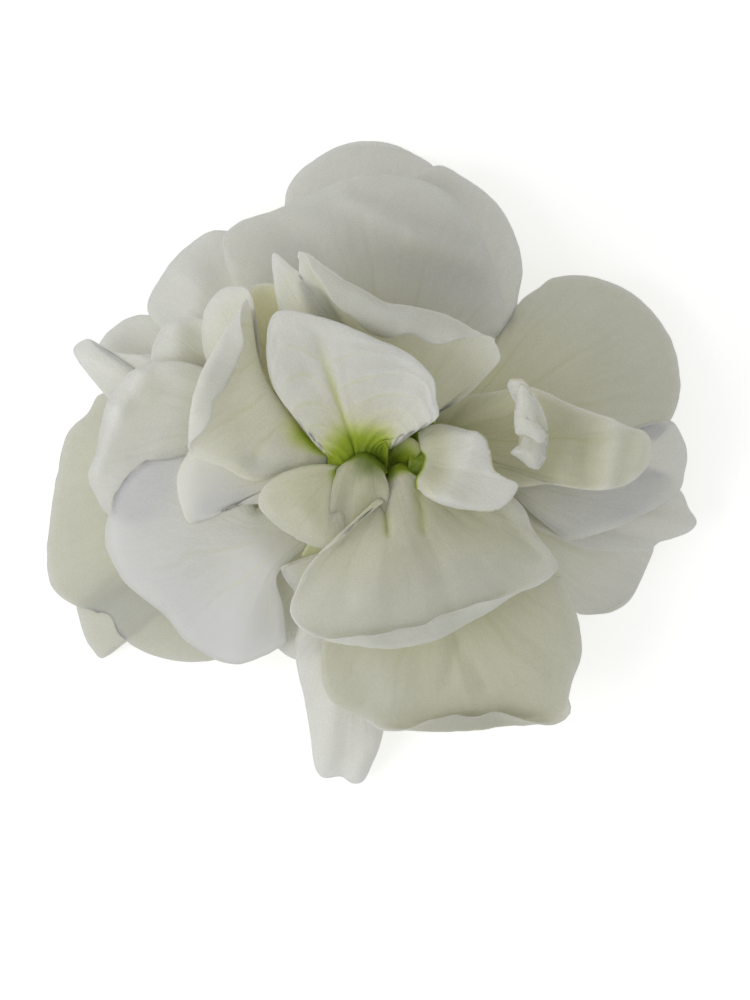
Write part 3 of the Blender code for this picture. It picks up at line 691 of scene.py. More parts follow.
@dataclass
class Petal:
    """One petal. Its rays run from root to waist, where the claw ends, and fan out to the margin's points.

    A petal with a bend has no single waist: its rays come up by drop to the line of bend points, and go on
    from there. Where the last point of the margin is its first, the rays stand round the claw, as in a
    funnel.
    """

    name: str
    margin: tuple[Point, ...]
    finish: PetalFinish
    root: Point = (0.0, 0.0, 0.0)
    waist: Point = (0.0, 0.0, 0.0)
    claw: float = 0.0
    side: Place | None = None
    bend: tuple[Point, ...] = ()
    drop: Point = (0.0, 0.0, -1.5)
    arch: float = 0.0
    lips: tuple[Lip, ...] = ()
    folds: tuple[Fold, ...] = ()
    ruffle: float = 0.20
    frill: float = 0.06
    ripple: float = 0.06
    ragged: float = 0.10
    # Light or shade painted over the whole petal: below 1 it is drawn darker, as if shaded, above 1 lighter,
    # as if lit.
    tone: float = 1.0
    seed: float = 0.0
    thickness: float = 0.24
    thin_edge: float = 0.3
    thinning: float = 0.7
    columns: int = 108
    claw_rows: int = 5
    blade_rows: int = 36
    lip_rows: int = 12
    free_blade_end: float = 0.86
    root_share: float = 0.5

    @property
    def closed(self) -> bool:
        """Whether the margin runs all the way round."""
        return self.margin[0] == self.margin[-1]

    def ring(self, values: np.ndarray) -> np.ndarray:
        """Evens out the step from the last column to the first where the margin runs all the way round.

        Args:
            values: Values for each column.

        Returns:
            The values, the last column's like the first's.
        """
        if not self.closed:
            return values
        share = np.linspace(0.0, 1.0, len(values)).reshape(-1, *([1] * (values.ndim - 1)))
        return values - share * (values[-1] - values[0])

    def lip_values(self, knots: np.ndarray, across: np.ndarray) -> np.ndarray:
        """How the margin rolls at each column.

        Args:
            knots: The knots of the margin's points.
            across: The columns' places along the margin.

        Returns:
            Rows of how far it is rolled out, the roll's radius, its turn and the flap's width.
        """
        values = np.zeros((4, len(across)))
        values[1] = Lip(0, 0, 0.0).radius
        for lip in self.lips:
            share = (across - knots[lip.first]) / (knots[lip.last] - knots[lip.first])
            inside = (share > 0.0) & (share < 1.0)
            rolled = np.sin(np.pi * np.clip(share, 0.0, 1.0)) ** lip.taper * inside
            waver = smooth_noise(across * LIP_WAVERS, np.zeros_like(across), self.seed + 7.0)
            values[0] += rolled
            values[1] = np.where(inside, lip.radius, values[1])
            values[2] += math.radians(lip.turn) * rolled * (1 + TURN_WAVER * waver)
            width = (lip.width - lip.radius) * (1 + lip.lean * (2 * share - 1)) * (1 + WIDTH_WAVER * waver)
            values[3] += np.clip(width, 0.0, None) * rolled
        return values

    def surface(self) -> tuple[np.ndarray, np.ndarray, np.ndarray]:
        """The blade's middle surface.

        Returns:
            Columns of rows of points in millimetres, how far each is round the roll, from 0 to 1, and how
            far each is from the margin, in millimetres.
        """
        margin = np.array(self.margin)[None]
        knots = spread_knots(margin)
        across = np.linspace(0.0, 1.0, self.columns + 1)
        edge = curves_through(margin, knots, across[None])[0]
        base = np.array((*self.side, 0.0)) if self.side else (margin[0, 0] - margin[0, -1]) * (1.0, 1.0, 0.0)
        base = normalised(base)
        side = base * self.claw * (0.5 - across)[:, None]
        if self.closed:
            side = normalised((edge - np.array(self.waist)) * (1.0, 1.0, 0.0)) * self.claw / 2
        root = np.array(self.root) + side * self.root_share
        waist = np.array(self.waist) + side
        if self.bend:
            bend = np.array(self.bend)[None]
            waist = curves_through(bend, spread_knots(bend), across[None])[0]
            root = waist + np.array(self.drop)
        short = np.clip(np.linalg.norm(edge - waist, axis=1) / FULL_RAY, 0.0, 1.0)[:, None]
        middle = (waist + edge) / 2 + short * (0.0, 0.0, self.arch)
        place = across * line_length(edge)
        nicks, dents = (smooth_noise(place / length, 0 * place, self.seed) for length in NICK_LENGTHS)
        nicks = 0.5 * nicks + dents
        edge = edge + normalised(edge - middle) * (self.ragged * self.ring(nicks))[:, None]
        lines = np.stack([root, waist, middle, edge], axis=1)
        ray_knots = spread_knots(lines)
        length = np.linalg.norm(np.diff(lines, axis=1), axis=2).sum(axis=1)

        near = [np.clip(across + step, 0.0, 1.0)[None] for step in (-SMALL_STEP, SMALL_STEP)]
        rim = normalised(np.subtract(*(curves_through(margin, knots, at)[0] for at in near[::-1])))
        ahead = edge - curves_through(lines, ray_knots, np.full((len(across), 1), 1 - SMALL_STEP))[:, 0]
        ahead = normalised(ahead - rim * (ahead * rim).sum(axis=1, keepdims=True))
        up = np.cross(ahead, rim)
        up *= np.where(up[:, 2:] < 0, -1.0, 1.0)

        rolled, radius, turn, flap = self.lip_values(knots[0], across)
        start = length - radius * np.sin(np.minimum(turn, math.pi / 2))
        waist_reach = ray_knots[:, -3] * length
        fold = waist_reach + (start - waist_reach) * (
            self.free_blade_end + (1 - self.free_blade_end) * np.minimum(rolled, 1.0)
        )
        whole = start + radius * turn + flap
        stops = (np.zeros_like(length), waist_reach, fold, whole)
        parts = []
        for first, last, rows in zip(stops, stops[1:], (self.claw_rows, self.blade_rows, self.lip_rows)):
            shares = np.linspace(0.0, 1.0, rows + 1)[None, (1 if parts else 0):]
            parts.append(first[:, None] + (last - first)[:, None] * shares)
        reach = np.concatenate(parts, axis=1)
        points = curves_through(lines, ray_knots, np.minimum(reach, start[:, None]) / length[:, None])

        past = np.maximum(reach - start[:, None], 0.0)
        angle = np.minimum(past / radius[:, None], turn[:, None])
        flat = np.maximum(past - (radius * turn)[:, None], 0.0)
        outward = np.sin(angle) * radius[:, None] + np.cos(turn)[:, None] * flat
        upward = (1 - np.cos(angle)) * radius[:, None] + np.sin(turn)[:, None] * flat
        points = points + ahead[:, None] * outward[..., None] + up[:, None] * upward[..., None]
        return points, np.clip(past / ROLL_REACH, 0.0, 1.0), whole[:, None] - reach

    def lifts(self, points: np.ndarray) -> np.ndarray:
        """How far folds, ruffles, ripples and frills lift the blade.

        Args:
            points: The middle surface's points.

        Returns:
            The lift at each point, in millimetres.
        """
        plan = points[..., 0], points[..., 1]
        lift = sum((fold.height * fold.near(*plan) for fold in self.folds), np.zeros(points.shape[:2]))
        whole = points[:, self.claw_rows + self.blade_rows] - points[:, self.claw_rows]
        room = np.clip(np.linalg.norm(whole, axis=1) / FULL_RAY, 0.0, 1.0)[:, None]
        across = np.linspace(0.0, line_length(np.array(self.margin)), points.shape[0])[:, None]
        along = np.linspace(0.0, 1.0, points.shape[1])[None]
        wave, broad, frill, ripple = (
            smooth_noise(across / length + 0 * along, along * count + 0 * across, self.seed + shift)
            for length, count, shift in WAVES
        )
        lift += room * self.ruffle * (wave * 1.6 + broad * 2.0) * along ** 1.5
        lift += room * self.frill * frill * along ** 3
        lift += room * self.ripple * ripple * np.sin(np.pi * along) ** 0.7
        if self.finish.veins is Veins.PAIRED:
            place = np.linspace(0.0, 1.0, points.shape[0])[:, None]
            aside = np.abs(place - MIDRIB)
            cell = np.abs((along - aside * SIDE_VEIN_SLANT) * SIDE_VEIN_COUNT % 1.0 - 0.5)
            shown = np.clip(1.4 * np.sin(np.pi * along), 0.0, 1.0)
            beside = np.clip(aside / 0.1, 0.0, 1.0)
            lift += SIDE_VEIN_RISE * np.exp(-((cell / SIDE_VEIN_WIDTH) ** 2)) * shown * beside
            lift -= MIDRIB_DEPTH * np.exp(-((aside / MIDRIB_WIDTH) ** 2)) * shown
        return self.ring(lift)

    def creases(self, points: np.ndarray) -> np.ndarray:
        """How deep in a crease each point of the blade lies.

        Args:
            points: The middle surface's points.

        Returns:
            1 at the bottom of a crease, and 0 away from creases.
        """
        cuts = (fold for fold in self.folds if fold.height < 0 and fold.radius < CREASE_RADIUS)
        depth = sum((cut.near(points[..., 0], points[..., 1]) for cut in cuts), np.zeros(points.shape[:2]))
        return np.clip(depth, 0.0, 1.0)

    def painted_light_levels(self, points: np.ndarray) -> np.ndarray:
        """The light and shade painted on the blade at each point.

        Args:
            points: The middle surface's points.

        Returns:
            The painted level, 1 for the finish as it is, lower where shade is painted and higher where light
            is.
        """
        change = sum((fold.tone * fold.near(points[..., 0], points[..., 1]) for fold in self.folds), 0.0)
        return self.tone + change + np.zeros(points.shape[:2])

    def fullness(self, points: np.ndarray, edge: np.ndarray) -> np.ndarray:
        """How thick the blade is at each point, as a share: it thins out towards its margin and its sides.

        Args:
            points: The middle surface's points.
            edge: How far each is from the margin, in millimetres.

        Returns:
            The share of the whole thickness.
        """
        if not self.closed:
            sides = (np.linalg.norm(points - points[i:i + 1 or None], axis=2) for i in (0, -1))
            edge = np.minimum(edge, np.minimum(*sides))
        return np.clip(self.thin_edge + (1 - self.thin_edge) * edge / self.thinning, 0.0, 1.0)

    def build(self) -> bpy.types.Object:
        """Builds and dresses the petal.

        Returns:
            The petal.
        """
        points, rolled, edge = self.surface()
        marks = {
            "rolled": rolled,
            "edge": edge,
            "crease": self.creases(points),
            "seed": np.full_like(rolled, self.seed),
            # The painted light and shade at each point.
            "tone": self.painted_light_levels(points),
        }
        points[..., 2] = np.maximum(points[..., 2] + self.lifts(points), self.thickness)
        points = self.ring(points)
        blade = grid_object(self.name, points, marks)
        weigh(blade, self.fullness(points, edge))
        if self.closed:
            weld(blade, filled=False)
        thicken(blade, self.thickness, THICK)
        settle(blade, self.finish, Node.PETALS)
        return blade


OUTER = PetalFinish("petal_outer")
INNER = PetalFinish("petal_inner", cream_from=4.5, cream_to=12.0, vein_green=0.3)
BENT = PetalFinish("petal_bent", margin=(0.82, 0.81, 0.66), green_end=0.16, vein_green=0.25)
SIDE = PetalFinish("petal_side", green_end=0.5, green_reach=8.5)
FRONT = PetalFinish(
    "petal_front", cream_from=4.5, cream_to=12.0, green_end=0.15, green_reach=5.5, vein_green=0.3
)
# Tan all over, as painted warm shade, for the petal that lies behind the others.
TAN_SHADE = PetalFinish(
    "petal_tan_shade", margin=(0.80, 0.775, 0.52), inner=(0.79, 0.76, 0.46), green_end=0.5, green_reach=8.0
)
COLUMN = PetalFinish(
    "petal_column", margin=(0.82, 0.81, 0.66), green_end=0.42, green_reach=5.5, vein_green=0.25
)
UPRIGHT = PetalFinish(
    "petal_upright",
    cream_from=4.0,
    cream_to=8.0,
    green_end=0.62,
    green_reach=6.0,
    ring_reach=3.4,
    veins=Veins.PAIRED,
    vein_depth=0.02,
    vein_green=0.8,
)
TORN = PetalFinish("petal_torn", cream_from=4.8, cream_to=7.0, green_end=0.1, brown_edge=0.75)
LEAF = PetalFinish(
    "petal_leaf", margin=(0.60, 0.58, 0.27), inner=(0.60, 0.58, 0.27), green_end=1.25, green_reach=30.0
)


# Petals, each with the plan place and height of its root, its waist and the points of its margin, and the
# light or shade painted on it.
PETALS: tuple[Petal, ...] = (
    # The bright upright petal above the throat, its tip pointing right.
    Petal(
        name="standard",
        bend=(
            (-2.95, 0.35, 13.6), (-2.2, 0.0, 13.7), (-1.3, 0.2, 13.95), (-0.3, 0.65, 14.3),
            (0.5, 1.1, 14.7), (0.95, 1.25, 15.0), (1.25, 0.95, 15.0),
        ),
        drop=(-0.05, -1.6, -1.9),
        margin=(
            (-3.7, 1.1, 13.9), (-5.2, 3.1, 14.8), (-6.8, 5.4, 16.2), (-7.2, 8.2, 17.8), (-6.6, 10.3, 18.8),
            (-4.4, 10.3, 19.0), (-0.7, 9.0, 19.4), (2.6, 7.5, 19.5), (4.3, 5.9, 19.3), (4.6, 4.2, 18.8),
            (4.72, 3.08, 18.4), (3.4, 2.2, 17.1), (2.2, 1.4, 15.9), (1.4, 0.9, 15.1),
        ),
        arch=0.3,
        folds=(Fold((-2.4, 5.2), (2.6, 4.6), 1.6, 0.35), Fold((-3.4, 8.2), (-4.6, 6.2), 1.0, -0.25)),
        ripple=0.09, claw_rows=10, tone=1.03, finish=UPRIGHT,
    ),
    # Two small petals in front of the throat, left of its middle, with a narrow slit between them.
    Petal(
        name="front_left",
        root=(0.0, -0.4, 11.0), waist=(-2.15, -0.75, 13.7), claw=0.9, side=(0.0, 1.0),
        margin=(
            (-2.75, -0.28, 13.9), (-3.8, -0.2, 14.1), (-4.9, -0.4, 14.4), (-6.45, -1.0, 14.8),
            (-7.5, -1.85, 15.0), (-7.75, -2.9, 15.0), (-7.0, -3.95, 14.9), (-5.7, -5.0, 14.7),
            (-4.35, -5.75, 14.6), (-3.1, -6.0, 14.45), (-1.6, -5.8, 14.3), (-1.2, -4.0, 14.15),
            (-1.3, -2.4, 14.1),
        ),
        arch=0.4,
        folds=(Fold((-7.2, -3.3), (-4.7, -3.5), 0.9, 0.28), Fold((-4.7, -3.5), (-3.3, -5.4), 0.8, 0.25)),
        tone=0.85, finish=INNER,
    ),
    Petal(
        name="front_middle",
        bend=(
            (-2.3, -0.55, 14.0), (-1.6, -0.05, 14.3), (-0.9, 0.3, 14.6), (-0.4, 0.42, 14.7),
            (0.2, 0.05, 14.8), (0.7, -0.45, 14.9), (1.03, -0.86, 15.0),
        ),
        drop=(0.3, 0.1, -1.4),
        margin=(
            (-2.35, -0.9, 14.05), (-2.75, -2.2, 14.38), (-3.0, -4.05, 14.62), (-2.7, -5.6, 14.2),
            (-1.0, -5.5, 13.7), (0.7, -4.9, 13.6), (1.2, -3.9, 13.8), (1.36, -2.6, 14.3), (1.3, -1.6, 14.8),
        ),
        arch=0.25,
        folds=(
            Fold((-0.3, -1.2), (-1.6, -4.6), 0.8, 0.2, 0.02),
            Fold((-1.2, -0.8), (-2.0, -3.6), 0.65, -0.15, -0.04),
            # Painted shade only, with no swell.
            Fold((0.7, -2.0), (0.2, -4.2), 0.8, 0.0, -0.05),
        ),
        tone=0.79, finish=BENT,
    ),
    # The small dark leaf in the throat's hollow.
    Petal(
        name="throat_leaf",
        root=(1.9, -0.6, 11.4), waist=(2.3, -0.1, 12.7), claw=1.4,
        margin=(
            (1.4, 0.1, 12.9), (1.45, 0.7, 13.3), (2.14, 1.47, 13.8), (2.8, 1.68, 14.0), (3.36, 1.33, 13.9),
            (3.64, 0.91, 13.7), (3.3, 0.4, 13.3), (2.9, -0.05, 13.0),
        ),
        side=(-1.0, 0.0), arch=0.1, ruffle=0.05, ragged=0.03, columns=60, blade_rows=22, lip_rows=6,
        finish=LEAF,
    ),
    # Two claws that the broad front petal hides, and the broad petal itself, with an ear beside its claw and
    # a long rolled lip along its far margin.
    Petal(
        name="front_column",
        bend=(
            (0.95, -0.95, 12.5), (1.4, -0.65, 12.9), (2.0, -0.5, 13.0), (2.6, -0.6, 12.9),
            (3.15, -0.95, 12.3),
        ),
        drop=(0.0, 0.6, -1.6),
        margin=(
            (1.0, -4.6, 12.9), (1.0, -6.3, 12.9), (1.7, -7.4, 12.9), (2.6, -7.8, 12.9), (3.6, -7.4, 12.8),
            (4.4, -6.0, 12.7), (4.6, -4.4, 12.6),
        ),
        arch=0.42, ruffle=0.05, ragged=0.0, columns=60, tone=0.97, finish=COLUMN,
    ),
    Petal(
        name="front_shoulder",
        bend=((2.9, -1.3, 12.3), (3.6, -1.9, 12.6), (4.6, -2.2, 12.6), (6.0, -2.2, 12.5)),
        drop=(0.0, 0.5, -1.0),
        margin=((3.2, -5.9, 12.7), (4.4, -6.0, 12.6), (5.8, -5.6, 12.4), (7.6, -4.6, 12.2)), arch=0.35,
        ruffle=0.05, ragged=0.0, columns=60, tone=0.92, finish=BENT,
    ),
    Petal(
        name="front_broad",
        bend=(
            (0.95, -2.8, 14.5), (1.05, -1.7, 14.0), (1.5, -0.85, 13.9), (2.2, -0.6, 14.0),
            (2.95, -0.95, 13.8), (3.5, -1.6, 13.5),
        ),
        drop=(0.0, 0.5, -1.6),
        margin=(
            (0.12, -3.25, 15.8), (-0.55, -3.85, 15.9), (-1.25, -4.45, 15.9), (-2.75, -5.85, 15.8),
            (-3.8, -6.7, 15.6), (-4.55, -7.7, 15.4), (-5.05, -8.8, 15.1), (-5.55, -10.1, 14.8),
            (-4.9, -11.2, 14.5), (-3.3, -12.2, 14.2), (-1.4, -12.6, 14.0), (0.7, -12.8, 13.8),
            (2.95, -12.7, 13.7), (5.0, -12.1, 13.6), (7.0, -11.0, 13.4), (9.1, -9.7, 13.1),
            (11.2, -8.5, 12.8), (13.1, -7.3, 12.5), (12.6, -6.3, 12.6), (11.4, -4.75, 12.8),
            (10.55, -3.0, 13.0), (8.75, -1.75, 13.2), (6.6, -1.5, 13.2), (5.2, -1.5, 13.3),
        ),
        arch=0.45, lips=(Lip(7, 17, 1.5, 0.36),),
        folds=(
            Fold((0.6, -6.2), (-0.2, -9.2), 1.3, 0.4, 0.04), Fold((2.0, -1.2), (2.5, -5.2), 0.9, 0.3, 0.03),
            Fold((3.3, -1.8), (3.7, -4.8), 0.35, -0.15, -0.04),
            Fold((1.05, -3.4), (1.2, -4.9), 0.28, -0.3, -0.12),
            Fold((4.3, -6.0), (5.4, -10.0), 0.9, -0.2, -0.03),
            # Painted shade only, with no swell, on the right of the blade.
            Fold((6.2, -3.2), (9.6, -5.6), 2.2, 0.0, -0.16),
            Fold((8.6, -3.0), (11.8, -6.6), 0.5, -0.15, -0.03),
        ),
        ripple=0.08, frill=0.14, tone=0.87, finish=FRONT,
    ),
    # The petal right of the throat, its outer half folded up and bright.
    Petal(
        name="folded",
        bend=(
            (3.45, 2.1, 13.9), (3.7, 1.0, 14.0), (4.1, 0.4, 14.2), (3.95, -0.5, 14.5), (3.5, -1.3, 14.9),
            (3.42, -1.95, 15.1),
        ),
        drop=(-0.3, 0.0, -1.6),
        margin=(
            (4.0, 2.45, 14.2), (4.7, 2.6, 14.5), (5.4, 2.55, 14.9), (6.1, 2.35, 15.5), (6.9, 2.15, 16.2),
            (7.6, 2.02, 16.7), (8.1, 1.6, 16.8), (8.4, 0.8, 16.8), (8.6, -0.5, 16.7), (9.4, -1.1, 16.7),
            (10.25, -1.6, 16.6), (10.0, -2.3, 16.6), (9.4, -2.95, 16.6), (8.6, -3.4, 16.6),
            (7.6, -3.45, 16.5), (6.05, -3.25, 16.3), (4.7, -2.85, 15.9), (3.85, -2.4, 15.5),
        ),
        arch=0.45,
        folds=(
            Fold((7.2, 1.4), (5.6, -2.2), 0.9, 0.3, 0.04), Fold((4.6, 1.8), (4.8, -0.4), 0.8, -0.3, -0.16),
            Fold((5.6, 1.6), (6.2, 1.4), 0.6, -0.1, -0.06),
        ),
        ripple=0.07, ragged=0.13, tone=1.02, finish=TORN,
    ),
    # The curled petal further right, its far side rolled in, and the scroll on its near side.
    Petal(
        name="curled",
        root=(3.0, 0.8, 10.6), waist=(5.0, 1.4, 12.6), claw=1.6,
        margin=(
            (4.5, 3.5, 12.6), (5.6, 4.3, 12.8), (7.2, 4.7, 12.8), (8.8, 4.9, 13.2), (10.0, 5.1, 13.8),
            (11.1, 5.2, 14.5), (12.4, 4.75, 14.9), (14.0, 4.0, 14.9), (15.7, 3.35, 14.8),
            (17.0, 2.95, 14.8), (18.1, 2.4, 14.8), (19.1, 2.1, 14.4), (19.65, 1.3, 14.0), (19.5, 0.0, 13.6),
            (18.7, -1.0, 13.4), (17.6, -1.7, 13.4), (15.8, -2.0, 13.2), (13.9, -1.8, 13.0),
            (12.4, -1.55, 12.9), (10.5, -1.75, 12.7), (8.4, -1.3, 12.7), (5.95, 0.2, 12.7),
        ),
        folds=(
            Fold((17.2, 2.5), (16.6, -1.5), 0.9, 0.6, 0.09),
            Fold((14.9, 2.0), (15.2, -1.2), 0.8, -0.25, -0.03),
            Fold((13.0, 2.6), (12.4, -0.6), 1.0, -0.15, -0.02),
            Fold((14.2, 1.4), (13.4, -1.2), 0.4, 0.1, 0.03),
            Fold((18.9, 1.2), (18.2, -0.6), 0.8, 0.25, 0.03),
        ),
        ripple=0.1, tone=0.7, finish=SIDE,
    ),
    Petal(
        name="scroll_back",
        root=(11.4, 2.2, 16.3), waist=(11.4, 2.2, 16.3), claw=0.7, root_share=0.02,
        margin=(
            (11.68, -0.56, 15.6), (12.05, -0.1, 15.7), (12.3, 0.5, 15.9), (12.38, 1.4, 16.2),
            (12.3, 2.5, 16.6), (12.02, 3.52, 16.9), (11.52, 4.42, 17.1), (11.0, 5.28, 17.3),
            (10.56, 5.7, 17.4), (10.15, 5.75, 17.4), (9.75, 5.72, 17.3), (9.53, 5.35, 17.2),
            (9.66, 4.95, 17.0), (9.98, 4.65, 16.8), (10.35, 4.0, 16.6), (10.3, 2.6, 16.3),
            (10.4, 1.2, 16.0), (10.9, 0.0, 15.6), (11.68, -0.56, 15.6),
        ),
        arch=0.1, ruffle=0.06, ragged=0.05, finish=TORN,
    ),
    Petal(
        name="scroll_upper",
        root=(10.9, 3.0, 18.1), waist=(10.9, 3.0, 18.1), claw=0.7, root_share=0.02,
        margin=(
            (10.73, 1.8, 17.7), (11.35, 1.5, 17.6), (11.8, 1.32, 17.5), (12.08, 1.4, 17.4),
            (12.2, 1.83, 17.4), (12.05, 2.2, 17.5), (11.66, 2.6, 17.7), (11.55, 3.5, 17.8),
            (11.35, 4.35, 17.9), (10.9, 5.1, 18.0), (10.5, 5.42, 18.0), (10.32, 5.1, 18.0),
            (10.2, 4.4, 17.9), (10.07, 3.7, 17.9), (10.03, 2.6, 17.8), (10.15, 1.95, 17.7),
            (10.73, 1.8, 17.7),
        ),
        arch=0.12, ruffle=0.06, ragged=0.06, tone=1.04, finish=TORN,
    ),
    Petal(
        name="scroll_lower",
        root=(11.2, 0.9, 16.9), waist=(11.2, 0.9, 16.9), claw=0.7, root_share=0.02,
        margin=(
            (12.2, 0.3, 16.3), (12.25, 1.2, 16.6), (12.1, 2.0, 16.9), (11.4, 2.3, 17.0), (10.7, 2.0, 17.0),
            (10.3, 1.2, 16.8), (9.76, 0.64, 16.7), (10.2, 0.32, 16.5), (10.66, -0.02, 16.3),
            (10.95, -0.3, 16.2), (11.55, -0.5, 16.1), (11.8, -0.28, 16.1), (12.2, 0.3, 16.3),
        ),
        arch=0.08, ruffle=0.06, ragged=0.06, tone=0.97, finish=TORN,
    ),
    # The upright petal behind the bright one, its top rolled over in a band, and the narrow tip left of it.
    Petal(
        name="banded",
        root=(1.5, 1.5, 10.4), waist=(2.2, 2.4, 13.2), claw=2.0,
        margin=(
            (0.35, 2.95, 13.5), (-2.8, 7.6, 14.2), (-4.7, 11.6, 15.4), (-4.9, 14.0, 17.0),
            (-4.6, 14.6, 17.4), (-3.3, 13.7, 17.9), (-1.9, 12.7, 18.1), (-0.35, 11.9, 18.2),
            (1.05, 11.1, 18.2), (2.45, 10.9, 18.1), (4.55, 10.5, 17.8), (6.3, 9.8, 17.4), (7.6, 9.0, 16.9),
            (8.7, 8.2, 16.3), (9.05, 7.15, 15.8), (8.4, 6.3, 15.3), (6.65, 4.55, 14.4), (5.25, 3.8, 13.8),
            (4.35, 3.1, 13.5),
        ),
        arch=-0.3, lips=(Lip(3, 13, 2.2, 0.5, lean=0.25),), ripple=0.09, tone=0.93, finish=OUTER,
    ),
    Petal(
        name="narrow_tip",
        root=(1.1, 1.4, 10.4), waist=(-0.7, 4.0, 13.3), claw=1.2,
        margin=(
            (-5.6, 7.6, 14.4), (-6.3, 10.5, 15.4), (-6.65, 12.4, 16.2), (-6.7, 14.5, 17.0),
            (-5.6, 13.7, 16.7), (-4.2, 12.55, 16.3), (-1.75, 10.8, 15.7), (0.7, 8.9, 15.0),
            (2.1, 7.0, 14.3),
        ),
        finish=OUTER,
    ),
    # The left petal with a rolled band down its outer side, and the pale lobe behind its tip.
    Petal(
        name="left_banded",
        bend=(
            (-8.35, 10.7, 16.5), (-8.2, 9.0, 15.9), (-7.9, 7.1, 15.1), (-7.2, 5.3, 14.4), (-6.3, 3.9, 13.9),
            (-4.9, 2.1, 13.4), (-3.7, 1.0, 13.0), (-2.9, 0.45, 12.9),
        ),
        drop=(-0.35, -0.3, -1.5),
        margin=(
            (-8.55, 11.3, 17.0), (-9.5, 10.1, 17.0), (-10.5, 8.35, 16.9), (-11.5, 6.6, 16.6),
            (-12.2, 4.75, 16.2), (-12.5, 3.1, 15.7), (-12.6, 1.7, 15.1), (-12.2, 0.5, 14.6),
            (-11.05, -0.05, 14.1), (-9.95, -0.5, 13.8), (-8.9, -1.2, 13.5), (-7.55, -1.35, 13.3),
            (-5.95, -0.65, 13.1), (-4.2, -0.4, 12.9), (-3.0, -0.2, 12.8),
        ),
        arch=0.1, lips=(Lip(0, 7, 1.9, 0.42, lean=-0.3, taper=0.7),),
        folds=(
            Fold((-9.4, 2.4), (-8.6, 0.0), 1.6, -0.4, -0.03),
            Fold((-6.8, 0.6), (-4.9, 0.3), 0.9, 0.25, 0.03),
        ),
        ripple=0.08, tone=1.02, finish=SIDE,
    ),
    Petal(
        name="pale_lobe",
        root=(-0.2, 1.0, 10.8), waist=(-7.8, 5.6, 13.2), claw=1.0,
        margin=(
            (-7.9, 8.0, 13.9), (-8.0, 10.4, 14.9), (-8.4, 11.9, 15.4), (-9.2, 12.2, 15.2),
            (-10.2, 12.0, 14.8), (-10.9, 11.5, 14.4), (-11.6, 10.4, 13.6), (-11.7, 8.8, 13.0),
            (-11.3, 7.0, 12.6), (-10.2, 5.6, 12.6),
        ),
        side=(1.0, 0.2), tone=1.03, finish=OUTER,
    ),
    # Painted warm shade: the petal behind the left ones is tan all over.
    Petal(
        name="left_filler",
        root=(0.0, 0.8, 10.6), waist=(-2.6, 1.2, 12.2), claw=1.4,
        margin=(
            (-1.8, 3.6, 12.9), (-3.0, 7.5, 13.2), (-4.6, 10.5, 13.4), (-6.8, 12.4, 13.6),
            (-8.4, 12.0, 13.6), (-9.2, 9.8, 13.4), (-9.0, 7.0, 13.1), (-7.8, 4.0, 12.9), (-5.4, 1.2, 12.5),
        ),
        side=(0.5, 1.0), arch=0.15, tone=0.97, finish=TAN_SHADE,
    ),
    # The small pale petal under the left banded one, and the petal in the gap right of the cupped one.
    Petal(
        name="small_left",
        root=(0.0, 0.0, 10.8), waist=(-4.6, -0.6, 12.7), claw=1.2,
        margin=(
            (-7.55, 0.6, 13.0), (-10.5, 1.1, 12.9), (-12.2, 1.0, 12.8), (-13.0, 0.1, 12.6),
            (-13.45, -1.25, 12.3), (-13.25, -2.85, 12.0), (-12.5, -4.25, 11.6), (-11.05, -3.75, 11.9),
            (-9.4, -3.1, 12.2), (-7.55, -2.9, 12.4), (-5.6, -2.4, 12.6),
        ),
        side=(0.0, 1.0), arch=0.35, tone=1.25, finish=OUTER,
    ),
    Petal(
        name="gap_filler",
        root=(0.6, -1.0, 10.8), waist=(-2.2, -5.6, 12.0), claw=1.6,
        margin=(
            (-6.2, -4.4, 10.7), (-7.2, -6.0, 10.4), (-7.6, -8.0, 9.4), (-7.4, -10.4, 7.6),
            (-6.8, -12.6, 5.6), (-5.2, -13.8, 5.4), (-2.8, -13.0, 7.8), (0.2, -10.6, 10.4),
            (0.6, -7.4, 11.8),
        ),
        finish=OUTER,
    ),
    Petal(
        name="gap_ear",
        root=(-1.6, -5.6, 11.4), waist=(-3.4, -7.2, 12.5), claw=0.8,
        margin=(
            (-3.6, -6.3, 12.7), (-4.4, -6.65, 12.7), (-5.5, -7.05, 12.6), (-6.2, -7.4, 12.5),
            (-5.9, -8.2, 12.3), (-5.3, -9.0, 12.0), (-5.1, -10.6, 11.4), (-4.6, -9.6, 11.8),
            (-3.8, -8.8, 12.1),
        ),
        ruffle=0.1, columns=60, blade_rows=26, finish=INNER,
    ),
    # The large cupped petal to the left, bulging towards its lower right.
    Petal(
        name="cupped",
        root=(-0.1, -0.6, 10.9), waist=(-7.05, -5.4, 11.7), claw=4.7, side=(-0.32, 0.95), root_share=0.8,
        margin=(
            (-9.4, -0.2, 11.6), (-12.6, 1.1, 11.2), (-14.35, 0.9, 10.8), (-15.55, 0.2, 10.4),
            (-16.8, -0.85, 9.9), (-17.7, -2.1, 9.4), (-18.25, -3.5, 8.9), (-18.5, -5.1, 8.4),
            (-18.15, -6.7, 7.9), (-17.2, -8.35, 7.4), (-15.75, -9.65, 7.0), (-14.35, -10.8, 6.6),
            (-12.95, -12.45, 6.0), (-11.55, -13.5, 5.6), (-9.45, -14.15, 5.4), (-7.35, -13.5, 5.8),
            (-5.75, -12.55, 6.8),
        ),
        arch=0.85,
        folds=(
            Fold((-7.6, -7.4), (-8.8, -10.8), 2.4, 0.9, 0.14),
            Fold((-13.6, -1.6), (-15.6, -6.4), 1.8, -0.3, -0.02),
        ),
        tone=1.2, finish=OUTER,
    ),
    # The second left petal, also banded, with the small lobe above it.
    Petal(
        name="second_left",
        root=(-0.3, 0.6, 11.0), waist=(-7.8, 2.2, 11.8), claw=2.2,
        margin=(
